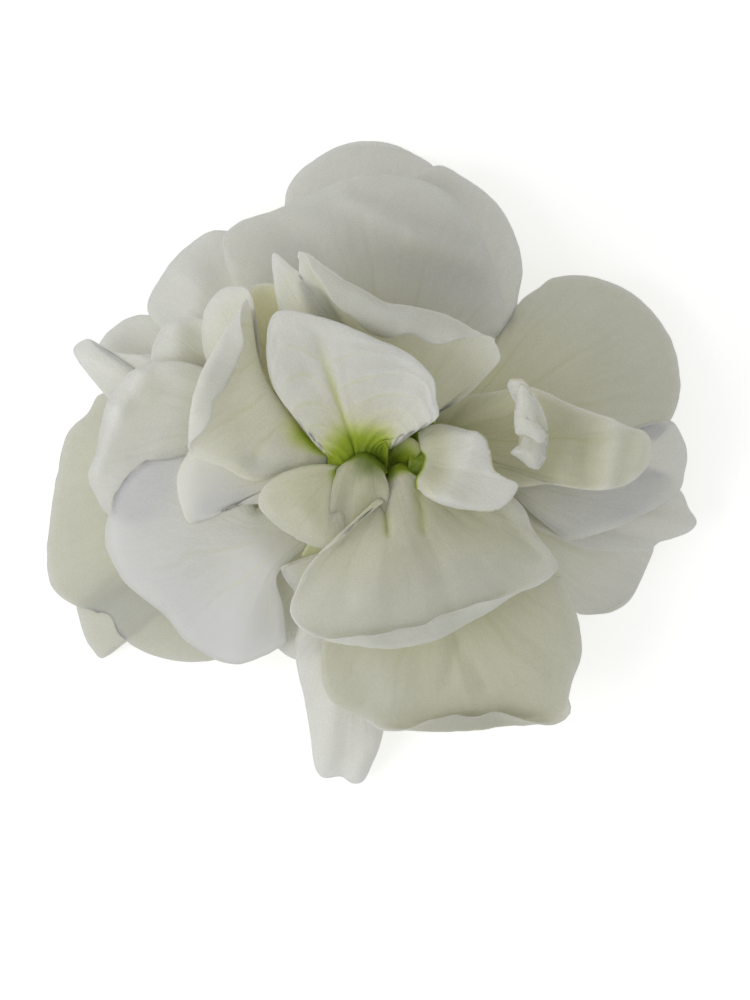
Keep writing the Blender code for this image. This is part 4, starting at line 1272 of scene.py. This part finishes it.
            (-11.0, 6.4, 12.3), (-13.3, 7.0, 12.3), (-15.1, 6.9, 12.1), (-16.6, 6.3, 11.8),
            (-17.6, 5.2, 11.5), (-18.3, 4.2, 11.2), (-18.75, 2.6, 10.8), (-19.1, 0.8, 10.3),
            (-19.65, -1.0, 9.6), (-19.2, -2.3, 9.2), (-18.4, -3.6, 8.9), (-16.5, -4.4, 9.2),
            (-13.0, -3.0, 10.4),
        ),
        side=(0.1, 1.0), arch=0.3,
        folds=(
            Fold((-15.9, 6.0), (-17.5, 3.6), 0.75, 0.55, 0.06),
            Fold((-17.5, 3.6), (-19.0, -0.4), 0.7, 0.5, 0.06),
            Fold((-14.6, 5.0), (-16.6, 0.6), 1.0, -0.45, -0.05),
            Fold((-17.0, 5.2), (-16.2, 4.2), 0.3, -0.12, -0.03),
        ),
        tone=1.02, finish=OUTER,
    ),
    Petal(
        name="upper_left_lobe",
        root=(-0.3, 0.9, 11.0), waist=(-8.8, 5.2, 11.2), claw=1.8,
        margin=(
            (-14.0, 5.4, 10.7), (-15.0, 6.4, 10.7), (-15.25, 7.5, 10.7), (-15.0, 8.6, 10.8),
            (-14.4, 9.5, 10.9), (-13.4, 10.0, 11.0), (-11.9, 10.0, 11.2), (-10.35, 9.4, 11.6),
        ),
        side=(0.0, -1.0),
        folds=(
            Fold((-13.6, 6.8), (-13.4, 9.4), 0.9, 0.4, 0.05),
            Fold((-12.0, 6.4), (-12.0, 9.0), 1.0, -0.3, -0.04),
        ),
        tone=1.05, finish=OUTER,
    ),
    # The outer ring, anticlockwise from the pointed petal at the upper left.
    Petal(
        name="pointed_left",
        root=(-0.4, 0.8, 11.2), waist=(-8.8, 0.8, 10.5), claw=3.0,
        margin=(
            (-13.2, 7.6, 9.6), (-16.0, 7.5, 9.2), (-17.4, 7.6, 8.7), (-18.5, 7.9, 8.3), (-19.3, 8.3, 8.1),
            (-19.75, 8.65, 8.0), (-20.3, 8.4, 7.7), (-20.7, 7.87, 7.5), (-20.4, 7.1, 7.2),
            (-19.98, 6.5, 7.2), (-19.2, 5.5, 7.4), (-18.4, 4.5, 7.8), (-16.4, 1.8, 9.0),
        ),
        side=(0.3, 1.0), arch=0.8, folds=(Fold((-19.6, 7.4), (-17.6, 6.4), 0.9, 0.35, 0.04),), tone=1.03,
        finish=OUTER,
    ),
    Petal(
        name="arc_left",
        root=(-0.3, 1.0, 11.3), waist=(-7.7, 4.6, 10.4), claw=2.0,
        margin=(
            (-13.4, 9.9, 6.6), (-15.9, 10.3, 5.6), (-17.15, 10.0, 5.2), (-18.35, 9.15, 4.8),
            (-19.05, 8.2, 4.7), (-19.2, 6.6, 5.0), (-17.0, 4.6, 6.6),
        ),
        arch=0.8, finish=OUTER,
    ),
    Petal(
        name="left_outer",
        root=(-0.6, 0.1, 11.3), waist=(-8.0, -1.4, 10.9), claw=2.6,
        margin=(
            (-16.5, 4.2, 7.6), (-18.4, 4.85, 6.8), (-19.1, 4.6, 6.4), (-19.75, 3.45, 6.0),
            (-20.85, 2.4, 5.4), (-21.55, 1.1, 4.9), (-21.9, -0.7, 4.4), (-22.25, -2.65, 3.8),
            (-22.55, -4.75, 3.2), (-22.7, -6.85, 2.7), (-22.45, -8.55, 2.3), (-21.7, -9.45, 2.1),
            (-20.5, -10.15, 2.0), (-18.9, -10.7, 2.2), (-17.0, -12.6, 2.4), (-15.05, -13.65, 2.8),
            (-12.95, -14.0, 3.4), (-10.5, -13.7, 4.4), (-8.4, -12.0, 6.0), (-7.4, -8.0, 9.0),
        ),
        arch=1.2, tone=0.75, finish=OUTER,
    ),
    Petal(
        name="lower_left_tip",
        root=(-0.4, -0.8, 11.2), waist=(-8.4, -5.4, 9.2), claw=2.0,
        margin=(
            (-18.6, -7.6, 3.4), (-20.6, -9.8, 1.6), (-20.4, -11.2, 0.9), (-19.95, -12.5, 0.5),
            (-19.3, -13.5, 0.35), (-18.85, -13.8, 0.35), (-18.3, -13.3, 0.5), (-16.6, -12.2, 1.3),
            (-13.0, -11.0, 3.4),
        ),
        arch=0.9, ruffle=0.1, tone=0.8, finish=OUTER,
    ),
    Petal(
        name="bottom_narrow",
        root=(0.7, -1.4, 11.2), waist=(-1.6, -9.4, 10.0), claw=2.2,
        margin=(
            (-5.0, -11.4, 8.0), (-5.25, -12.8, 7.0), (-5.0, -14.7, 5.8), (-4.6, -16.65, 4.6),
            (-4.2, -19.1, 2.9), (-3.8, -21.6, 1.4), (-3.15, -22.2, 1.1), (-2.1, -22.1, 1.0),
            (-1.25, -22.6, 0.9), (-0.55, -22.5, 0.9), (0.15, -21.15, 1.6), (0.8, -19.45, 2.6),
            (1.3, -17.0, 4.6),
        ),
        arch=0.9,
        folds=(
            Fold((-1.0, -22.2), (0.3, -19.6), 0.55, 0.35, 0.05),
            Fold((-2.9, -20.8), (-2.0, -15.6), 0.8, 0.25, 0.02),
            Fold((-1.4, -20.4), (-0.8, -16.4), 0.6, -0.25, -0.04),
        ),
        tone=1.06, finish=OUTER,
    ),
    Petal(
        name="bottom_broad",
        root=(1.6, -1.4, 11.2), waist=(3.9, -6.6, 12.0), claw=2.8,
        margin=(
            (-3.1, -11.8, 9.4), (-3.35, -13.0, 9.0), (-3.45, -14.4, 8.6), (-3.1, -16.1, 8.1),
            (-2.1, -17.2, 7.8), (-0.55, -17.85, 7.6), (1.05, -18.3, 7.5), (2.8, -18.5, 7.4),
            (4.9, -18.6, 7.4), (7.5, -18.5, 7.4), (9.45, -18.2, 7.4), (11.9, -18.0, 7.4),
            (13.6, -17.6, 7.4), (13.9, -16.65, 7.6), (14.2, -15.25, 7.8), (14.7, -13.85, 8.1),
            (14.75, -12.45, 8.5), (14.35, -10.35, 9.2), (13.3, -8.0, 10.2),
        ),
        arch=0.6, lips=(Lip(5, 13, 1.5, 0.32),),
        folds=(
            Fold((6.1, -12.5), (7.9, -15.7), 0.7, -0.3), Fold((6.1, -12.5), (5.4, -15.3), 0.6, -0.25),
            Fold((0.5, -14.5), (1.5, -16.0), 1.6, 0.4, 0.08),
        ),
        tone=0.72, finish=OUTER,
    ),
    Petal(
        name="lower_right",
        root=(2.6, -1.0, 11.3), waist=(8.6, -3.6, 11.0), claw=2.4,
        margin=(
            (13.0, -9.2, 4.0), (14.6, -10.6, 1.2), (15.95, -10.7, 0.2), (17.15, -10.5, -0.35),
            (18.35, -9.65, -0.3), (19.3, -7.7, 0.6), (19.95, -5.9, 2.0), (19.4, -4.0, 3.8),
            (16.0, -2.0, 7.0),
        ),
        arch=1.6, tone=0.93, finish=OUTER,
    ),
    Petal(
        name="pointed_right",
        root=(2.8, -0.6, 11.4), waist=(9.2, -2.6, 11.4), claw=2.2,
        margin=(
            (14.6, -6.0, 7.6), (17.4, -6.3, 5.6), (19.6, -6.1, 4.0), (20.3, -5.6, 3.8), (21.35, -5.3, 3.6),
            (22.4, -4.85, 3.4), (22.9, -4.25, 3.4), (22.4, -3.3, 3.8), (21.8, -2.0, 4.6), (20.0, -0.6, 6.4),
            (15.0, 0.0, 9.2),
        ),
        arch=1.0, tone=0.97, finish=OUTER,
    ),
    Petal(
        name="right_middle",
        root=(3.0, 0.0, 11.4), waist=(9.4, -0.8, 11.9), claw=2.4,
        margin=(
            (13.6, -5.5, 9.6), (14.9, -5.3, 9.1), (17.4, -4.5, 7.8), (18.9, -3.8, 7.0), (20.3, -3.1, 6.2),
            (21.7, -1.9, 5.6), (22.1, -0.3, 5.4), (22.2, 0.7, 5.4), (21.85, 1.9, 5.6), (21.2, 2.85, 5.8),
            (19.9, 2.7, 6.6), (18.6, 1.8, 7.4), (14.0, 2.0, 10.0),
        ),
        arch=0.8, tone=1.05, finish=OUTER,
    ),
    Petal(
        name="upper_right",
        root=(3.0, 1.2, 11.4), waist=(6.8, 3.0, 12.2), claw=2.8,
        margin=(
            (17.0, 0.6, 8.2), (20.0, 1.6, 6.2), (21.2, 3.1, 4.8), (21.7, 4.7, 3.9), (21.7, 6.45, 3.4),
            (21.2, 8.4, 3.1), (20.3, 9.95, 3.0), (19.25, 11.15, 3.1), (17.85, 12.2, 3.4),
            (16.25, 12.8, 3.8), (14.5, 13.1, 4.4), (12.8, 12.9, 5.0), (11.9, 12.25, 5.6), (10.6, 11.3, 6.6),
            (9.2, 9.0, 8.8),
        ),
        arch=1.4, tone=0.78, finish=OUTER,
    ),
    Petal(
        name="top_right",
        root=(2.0, 1.8, 11.3), waist=(3.0, 6.4, 11.9), claw=2.8,
        margin=(
            (10.2, 9.6, 8.4), (10.35, 11.55, 6.6), (10.65, 13.25, 5.6), (10.5, 14.85, 4.9),
            (9.95, 16.4, 4.3), (9.1, 17.9, 3.9), (8.05, 18.95, 3.6), (6.65, 19.95, 3.4), (5.45, 20.7, 3.2),
            (4.6, 20.8, 3.2), (3.0, 19.6, 4.0), (1.4, 17.0, 6.0),
        ),
        arch=1.2, tone=0.98, finish=OUTER,
    ),
    Petal(
        name="top_inner",
        root=(1.0, 1.8, 11.2), waist=(0.8, 5.6, 12.5), claw=3.0,
        margin=(
            (9.2, 9.2, 10.4), (9.4, 11.0, 9.4), (8.95, 12.75, 8.6), (8.35, 14.7, 7.9), (7.3, 16.65, 7.3),
            (5.6, 18.6, 6.8), (3.5, 19.75, 6.5), (0.7, 20.1, 6.4), (-2.1, 19.65, 6.5), (-4.9, 18.4, 6.8),
            (-7.0, 17.55, 7.1), (-9.1, 16.8, 7.3), (-10.3, 15.5, 7.8), (-9.8, 13.0, 9.0), (-8.0, 9.4, 11.0),
        ),
        arch=0.9,
        folds=(
            Fold((-1.5, 18.3), (2.9, 16.0), 0.7, 0.35, 0.03),
            Fold((2.9, 16.0), (7.4, 14.4), 0.7, 0.35, 0.03), Fold((0.5, 14.6), (6.5, 13.0), 1.6, -0.5),
            Fold((-5.6, 15.6), (-3.4, 14.0), 1.5, -0.4),
        ),
        tone=0.94, finish=OUTER,
    ),
    Petal(
        name="top_outer",
        root=(0.8, 1.8, 11.2), waist=(0.2, 7.0, 11.3), claw=2.6,
        margin=(
            (5.4, 18.0, 3.4), (4.6, 20.6, 1.2), (2.95, 21.75, 0.2), (1.4, 22.45, -0.3), (-0.3, 22.6, -0.35),
            (-1.95, 22.35, -0.2), (-3.5, 21.55, 0.4), (-4.9, 20.5, 1.2), (-5.75, 19.3, 2.0),
            (-6.0, 18.05, 2.8), (-6.2, 15.4, 4.6),
        ),
        arch=1.6, finish=OUTER,
    ),
    Petal(
        name="upper_left_back",
        root=(0.2, 1.6, 11.2), waist=(-4.2, 5.8, 12.0), claw=2.8,
        margin=(
            (-3.0, 16.0, 7.0), (-4.4, 17.3, 5.6), (-5.95, 17.8, 4.8), (-7.55, 17.0, 4.8),
            (-9.45, 16.2, 4.9), (-11.05, 16.2, 4.9), (-12.25, 15.55, 5.0), (-13.65, 14.3, 5.3),
            (-14.7, 12.8, 5.7), (-15.5, 11.4, 6.1), (-15.5, 10.4, 6.6), (-14.0, 8.4, 8.2),
        ),
        arch=1.0,
        folds=(Fold((-12.6, 12.8), (-12.0, 11.0), 1.3, 0.7), Fold((-10.3, 14.6), (-9.8, 12.0), 1.3, -0.5)),
        tone=1.02, finish=OUTER,
    ),
)


@dataclass(frozen=True)
class ClawFinish(Finish):
    """The skin of claws and throat: dark green in the hollow, lighter on the rim and down the claws."""

    name: str = "claw_green"
    hollow: Colour = (0.15, 0.23, 0.004)
    rim: Colour = (0.34, 0.46, 0.015)
    shank: Colour = (0.55, 0.63, 0.24)
    rim_height: float = 12.6
    shank_height: float = 7.0
    streak_scale: float = 2600.0
    streak_stretch: float = 0.15
    roughness: float = 0.5

    def material(self) -> bpy.types.Material:
        """Builds the finish.

        Returns:
            The material.
        """
        material, nodes = new_nodes(self.name)
        place = nodes.add("TexCoord").outputs["Object"]
        height = nodes.times(nodes.add("SeparateXYZ", {0: place}).outputs[2], 1 / MM)
        colour = nodes.blend(nodes.ramp(height, self.rim_height, self.shank_height), self.rim, self.shank)
        colour = nodes.blend(nodes.mark("hollow"), colour, self.hollow)
        inputs = {0: place, 1: (1.0, 1.0, self.streak_stretch)}
        stretched = nodes.add("VectorMath", inputs, operation="MULTIPLY").outputs[0]
        streaks = nodes.noise(stretched, self.streak_scale, 3.0)
        colour = nodes.blend(nodes.ramp(streaks, 0.35, 0.7, 0.0, 0.3), colour, self.shank)
        nodes.shader(
            colour,
            self.roughness,
            nodes.bumps((streaks, 0.4, 0.0001)),
            Subsurface_Weight=0.2,
            Subsurface_Radius=(0.8, 1.0, 0.3),
            Subsurface_Scale=0.0004,
        )
        return material


@dataclass
class ClawBundle:
    """The claws, packed side by side into a fluted column, with the throat's hollow between their tops."""

    name: str = "claw_bundle"
    top: float = 12.3
    foot: float = 3.3
    top_radius: float = 2.35
    foot_radius: float = 1.45
    hollow_radius: float = 1.25
    hollow_depth: float = 1.6
    claws: int = 13
    flute: float = 0.13
    columns: int = 156
    shank_rows: int = 14
    finish: ClawFinish = field(default_factory=ClawFinish)

    def profile(self) -> list[tuple[float, float, float]]:
        """The column's outline from the hollow's floor over the rim to the foot.

        Returns:
            The radius, the height and how deep in the hollow, from 0 to 1, of each point.
        """
        floor = self.top - self.hollow_depth
        inner = [
            (CORE, floor, 1.0), (self.hollow_radius * 0.6, floor + 0.15, 1.0),
            (self.hollow_radius, floor + 0.5, 1.0), (self.hollow_radius * 1.15, self.top - 0.7, 0.75),
            (self.hollow_radius * 1.3, self.top - 0.25, 0.3), (self.top_radius * 0.78, self.top, 0.0),
            (self.top_radius * 0.95, self.top - 0.2, 0.0),
        ]
        outer = []
        for row in range(self.shank_rows):
            share = row / (self.shank_rows - 1)
            radius = self.top_radius + (self.foot_radius - self.top_radius) * share ** 0.8
            outer.append((radius, self.top - 0.6 + (self.foot - self.top + 0.6) * share, 0.0))
        return [*inner, *outer, (CORE, self.foot, 0.0)]

    def build(self) -> bpy.types.Object:
        """Builds and dresses the bundle.

        Returns:
            The bundle.
        """
        profile = np.array(self.profile())
        turn = np.linspace(0.0, math.tau, self.columns + 1)[:, None]
        flutes = 1 + self.flute * (np.abs(np.cos(turn * self.claws / 2)) - 0.6)
        flutes[-1] = flutes[0]
        radius = profile[None, :, 0] * flutes
        points = round_axis(radius, turn, profile[None, :, 1])
        bundle = grid_object(self.name, points, {"hollow": profile[None, :, 2] + 0 * turn})
        weld(bundle)
        settle(bundle, self.finish, Node.PETALS)
        return bundle


@dataclass
class Strap:
    """A broad claw in the throat: a strip, hollow on its upper side, that follows a path."""

    name: str
    path: tuple[Point, ...]
    across: Place
    width: float
    hollow: float = 0.0
    cup: float = 0.25
    thickness: float = 0.3
    columns: int = 14
    rows: int = 28
    finish: ClawFinish = field(default_factory=ClawFinish)

    def build(self) -> bpy.types.Object:
        """Builds and dresses the strip.

        Returns:
            The strip.
        """
        path = np.array(self.path)[None]
        centre = curves_through(path, spread_knots(path), np.linspace(0.0, 1.0, self.rows + 1)[None])
        place = np.linspace(-0.5, 0.5, self.columns + 1)[:, None, None]
        points = centre + place * self.width * normalised(np.array((*self.across, 0.0)))
        points = points + np.array((0.0, 0.0, self.cup * 4.0)) * place ** 2
        strap = grid_object(self.name, points, {"hollow": np.full(points.shape[:2], self.hollow)})
        thicken(strap, self.thickness)
        settle(strap, self.finish, Node.PETALS)
        return strap


# The finish of the pale claw beside the broad front petal.
PALE_CLAW = ClawFinish("claw_pale", rim=(0.68, 0.69, 0.42), shank=(0.72, 0.73, 0.50))

# The broad claws that show in the throat.
STRAPS: tuple[Strap, ...] = (
    Strap(
        name="claw_right",
        path=((3.4, 1.2, 11.6), (3.7, 0.9, 12.8), (3.6, -0.3, 13.1), (3.2, -1.6, 13.0)),
        across=(1.0, 0.2), width=2.0, hollow=0.45,
    ),
    Strap(
        name="claw_back",
        path=((2.2, 1.4, 11.6), (2.8, 2.3, 12.9), (3.6, 3.2, 13.4)), across=(1.0, -0.6), width=2.0,
        hollow=0.6,
    ),
    Strap(
        name="claw_front",
        path=((1.0, -0.3, 11.2), (1.2, -1.6, 12.9), (1.2, -3.6, 13.6)), across=(1.0, 0.0), width=1.6,
        hollow=0.5,
    ),
    Strap(
        name="claw_middle",
        path=((-0.2, -0.2, 10.8), (-0.3, -0.1, 12.6), (-0.6, -0.1, 13.4)), across=(1.0, 0.3), width=1.6,
        hollow=0.2,
    ),
    Strap(
        name="claw_floor",
        path=((1.7, 1.4, 11.8), (1.7, 0.2, 12.1), (1.6, -1.0, 12.3)), across=(1.0, 0.0), width=2.6,
        hollow=0.6,
    ),
    Strap(
        name="left_shoulder",
        path=((0.2, -1.2, 11.6), (-2.0, -4.6, 12.3), (-3.6, -7.4, 11.8)), across=(0.8, -0.6), width=3.0,
        cup=0.1, finish=PALE_CLAW,
    ),
)


@dataclass(frozen=True)
class SepalFinish(Finish):
    """The green skin of sepals and stalk, ribbed lengthwise and paler towards the sepals' papery margins."""

    name: str = "sepal_green"
    base: Colour = (0.17, 0.25, 0.045)
    tip: Colour = (0.30, 0.37, 0.10)
    paper: Colour = (0.55, 0.58, 0.34)
    rib_count: int = 7
    fur_scale: float = 3200.0
    roughness: float = 0.55

    def material(self) -> bpy.types.Material:
        """Builds the finish.

        Returns:
            The material.
        """
        material, nodes = new_nodes(self.name)
        place = nodes.add("TexCoord").outputs["Object"]
        uv = nodes.add("SeparateXYZ", {0: nodes.add("UVMap", uv_map="blade").outputs[0]})
        off_middle = nodes.math("ABSOLUTE", nodes.math("SUBTRACT", uv.outputs[0], 0.5))
        colour = nodes.blend(nodes.ramp(uv.outputs[1], 0.0, 1.0), self.base, self.tip)
        colour = nodes.blend(nodes.ramp(off_middle, 0.38, 0.5, 0.0, 0.8), colour, self.paper)
        ribs = nodes.math("SINE", nodes.times(uv.outputs[0], self.rib_count * math.pi))
        ribs = nodes.ramp(nodes.math("ABSOLUTE", ribs), 0.0, 0.35)
        fur = nodes.noise(place, self.fur_scale, 3.0)
        shade = nodes.ramp(ribs, 0.0, 1.0, 0.86, 1.0)
        shade = nodes.times(shade, nodes.ramp(fur, 0.3, 0.7, 0.9, 1.08))
        grey = nodes.add("CombineColor", {0: shade, 1: shade, 2: shade}).outputs[0]
        colour = nodes.blend(1.0, colour, grey, "MULTIPLY")
        nodes.shader(
            colour,
            self.roughness,
            nodes.bumps((ribs, 0.5, 0.0001), (fur, 0.4, 0.00006)),
            Subsurface_Weight=0.1,
            Subsurface_Scale=0.0004,
            Sheen_Weight=0.1,
        )
        return material


@dataclass
class Calyx:
    """Four sepals round the claws, the outer two pouched at the foot, on the receptacle with its stalk."""

    floor: float = 2.95
    foot: float = 2.2
    radius: float = 2.9
    pouch: float = 0.38
    flare: float = 0.55
    tip_height: float = 10.1
    outer_reach: float = 0.86
    inner_reach: float = 0.80
    outer_offset: float = 0.05
    inner_offset: float = -0.30
    widest: float = 0.55
    narrowing: float = 0.45
    rib: float = 0.10
    rib_width: float = 0.12
    unevenness: float = 0.10
    wall: float = 0.4
    stalk_radius: float = 0.85
    stalk_path: tuple[Point, ...] = (
        (1.0, 0.1, 2.6), (0.9, -0.6, 1.7), (0.4, -2.6, 1.3), (-0.6, -5.6, 1.3), (-1.4, -7.8, 1.35),
    )
    columns: int = 44
    rows: int = 40
    seat_columns: int = 64
    stalk_columns: int = 48
    stalk_rows: int = 48
    finish: SepalFinish = field(default_factory=SepalFinish)

    def sepal(self, number: int) -> bpy.types.Object:
        """Builds one sepal.

        Args:
            number: The sepal's number, from 0, anticlockwise from the right.

        Returns:
            The sepal.
        """
        outer = number % 2 == 0
        across = np.linspace(-1.0, 1.0, self.columns + 1)[:, None]
        along = np.linspace(0.0, 1.0, self.rows + 1)[None]
        reach = self.outer_reach if outer else self.inner_reach
        offset = self.outer_offset if outer else self.inner_offset
        past = np.maximum(along - self.widest, 0.0) / self.narrowing
        narrow = np.maximum(np.sqrt(np.clip(1 - past ** 2, 0.0, 1.0)), 0.03)
        angle = math.pi / 2 * number + across * reach * narrow
        bulge = self.pouch * outer * np.exp(-9 * along * along) * np.cos(across * math.pi / 2)
        ridge = self.rib * np.exp(-(across / self.rib_width) ** 2) * (1 - 0.5 * along)
        radius = self.radius + offset + bulge + ridge + self.flare * along ** 3
        bumps = smooth_noise(across * 2.0 + 0 * along, along * 3.0 + 0 * across, 9.0 + number)
        radius = radius + self.unevenness * bumps
        height = self.foot + (self.tip_height - self.foot) * along
        sepal = grid_object(f"sepal_{number + 1}", round_axis(radius, angle, height), {})
        thicken(sepal, self.wall)
        return sepal

    def receptacle(self) -> bpy.types.Object:
        """Builds the seat of sepals and claws.

        Returns:
            The receptacle.
        """
        profile = np.array(
            (
                (CORE, self.floor), (2.3, self.floor), (2.85, self.floor - 0.15), (3.0, self.floor - 0.5),
                (2.9, self.foot), (2.55, self.foot - 0.3), (2.1, self.foot - 0.55), (1.5, self.foot - 0.75),
                (self.stalk_radius, self.foot - 0.85), (CORE, self.foot - 0.85),
            )
        )
        turn = np.linspace(0.0, math.tau, self.seat_columns + 1)[:, None]
        radius = profile[None, :, 0] * (1 + 0.025 * np.cos(8 * turn))
        points = round_axis(radius, turn, profile[None, :, 1])
        seat = grid_object("receptacle", points, {})
        weld(seat)
        return seat

    def stalk(self) -> bpy.types.Object:
        """Builds the stub of stalk, swollen a little where it was broken off.

        Returns:
            The stalk.
        """
        path = np.array(self.stalk_path)[None]
        share = np.linspace(0.0, 1.0, self.stalk_rows + 1)
        centre = curves_through(path, spread_knots(path), share[None])[0]
        ahead = normalised(np.gradient(centre, axis=0))
        aside = normalised(np.cross(ahead, (1.0, 0.0, 0.0)))
        over = np.cross(ahead, aside)
        turn = np.linspace(0.0, math.tau, self.stalk_columns + 1)[:, None, None]
        ribs = 1 + 0.05 * np.cos(6 * turn)
        swell = 1 + 0.10 * np.exp(-((share - 1.0) / 0.08) ** 2) + 0.2 * np.exp(-(share / 0.12) ** 2)
        radius = self.stalk_radius * 0.93 * ribs * swell[None, :, None]
        points = centre[None] + radius * (aside[None] * np.cos(turn) + over[None] * np.sin(turn))
        ends = [np.repeat(centre[None, i:i + 1], points.shape[0], axis=0) for i in (0, -1)]
        ends[1] = ends[1] - 0.15 * ahead[-1]
        stub = grid_object("stalk", np.concatenate([ends[0], points, ends[1]], axis=1), {})
        weld(stub)
        return stub

    def build(self) -> list[bpy.types.Object]:
        """Builds and dresses the calyx.

        Returns:
            Its pieces.
        """
        pieces = [*(self.sepal(number) for number in range(4)), self.receptacle(), self.stalk()]
        for piece in pieces:
            settle(piece, self.finish, Node.CALYX)
        return pieces


@dataclass(frozen=True)
class FloorFinish(Finish):
    """A white light table. What the camera sees of it is brighter than what it throws on the blossom."""

    name: str = "white_floor"
    colour: Colour = (0.8, 0.8, 0.795)
    light: Colour = (1.0, 1.0, 0.985)
    seen_light: float = 0.4
    thrown_light: float = 0.2

    def material(self) -> bpy.types.Material:
        """Builds the finish.

        Returns:
            The material.
        """
        material, nodes = new_nodes(self.name)
        matt = nodes.add("BsdfDiffuse", {"Color": (*self.colour, 1.0)}).outputs[0]
        seen = nodes.times(nodes.add("LightPath").outputs["Is Camera Ray"], self.seen_light)
        seen = nodes.math("ADD", seen, self.thrown_light)
        light = nodes.add("Emission", {"Color": (*self.light, 1.0), "Strength": seen}).outputs[0]
        both = nodes.add("AddShader", {0: matt, 1: light}).outputs[0]
        output = nodes.tree.nodes.new("ShaderNodeOutputMaterial")
        nodes.tree.links.new(both, output.inputs[0])
        return material


@dataclass
class Studio:
    """The white floor, the soft light and the camera straight above."""

    floor_size: float = 6.0
    sky: float = 0.48
    key_power: float = 0.68
    key_size: float = 0.30
    key_place: Point = (-0.34, -0.10, 0.34)
    field_height: float = 0.070
    sight_plane: float = 0.007
    centre: Place = (0.00035, -0.00266)
    lens: float = 600.0
    sensor: float = 36.0
    sight_end: float = 10.0

    def floor(self) -> None:
        """Lays the floor."""
        bm = bmesh.new()
        bmesh.ops.create_grid(bm, x_segments=8, y_segments=8, size=self.floor_size / 2)
        mesh = bpy.data.meshes.new("floor")
        bm.to_mesh(mesh)
        bm.free()
        floor = bpy.data.objects.new("floor", mesh)
        bpy.context.scene.collection.objects.link(floor)
        mesh.materials.append(FloorFinish().shared())

    def lights(self) -> None:
        """Hangs a soft key light at the left and lights the room evenly."""
        world = bpy.data.worlds.new("room")
        world.use_nodes = True
        sky = world.node_tree.nodes["Background"]
        sky.inputs["Color"].default_value = (1.0, 1.0, 1.0, 1.0)
        sky.inputs["Strength"].default_value = self.sky
        bpy.context.scene.world = world
        key = bpy.data.lights.new("key", "AREA")
        key.energy = self.key_power
        key.size = self.key_size
        lamp = bpy.data.objects.new("key", key)
        lamp.location = self.key_place
        lamp.rotation_euler = (-Vector(self.key_place)).to_track_quat("-Z", "Y").to_euler()
        bpy.context.scene.collection.objects.link(lamp)

    def camera(self) -> None:
        """Sets the camera straight above the blossom."""
        lens = bpy.data.cameras.new("camera")
        lens.lens = self.lens
        lens.sensor_width = self.sensor
        distance = self.lens / self.sensor * self.field_height
        camera = bpy.data.objects.new("camera", lens)
        camera.location = (*self.centre, self.sight_plane + distance)
        lens.clip_end = self.sight_end
        bpy.context.scene.collection.objects.link(camera)
        bpy.context.scene.camera = camera
        bpy.context.scene.view_settings.view_transform = "Standard"

    def build(self) -> None:
        """Builds the studio."""
        self.floor()
        self.lights()
        self.camera()


def main() -> None:
    """Builds the blossom and its studio."""
    logging.basicConfig(level=logging.INFO, format="%(name)s: %(message)s")
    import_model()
    for number, petal in enumerate(PETALS, start=1):
        petal.seed = SEED_STEP * number
        petal.build()
    ClawBundle().build()
    for strap in STRAPS:
        strap.build()
    Calyx().build()
    Studio().build()


if __name__ == "__main__":
    main()
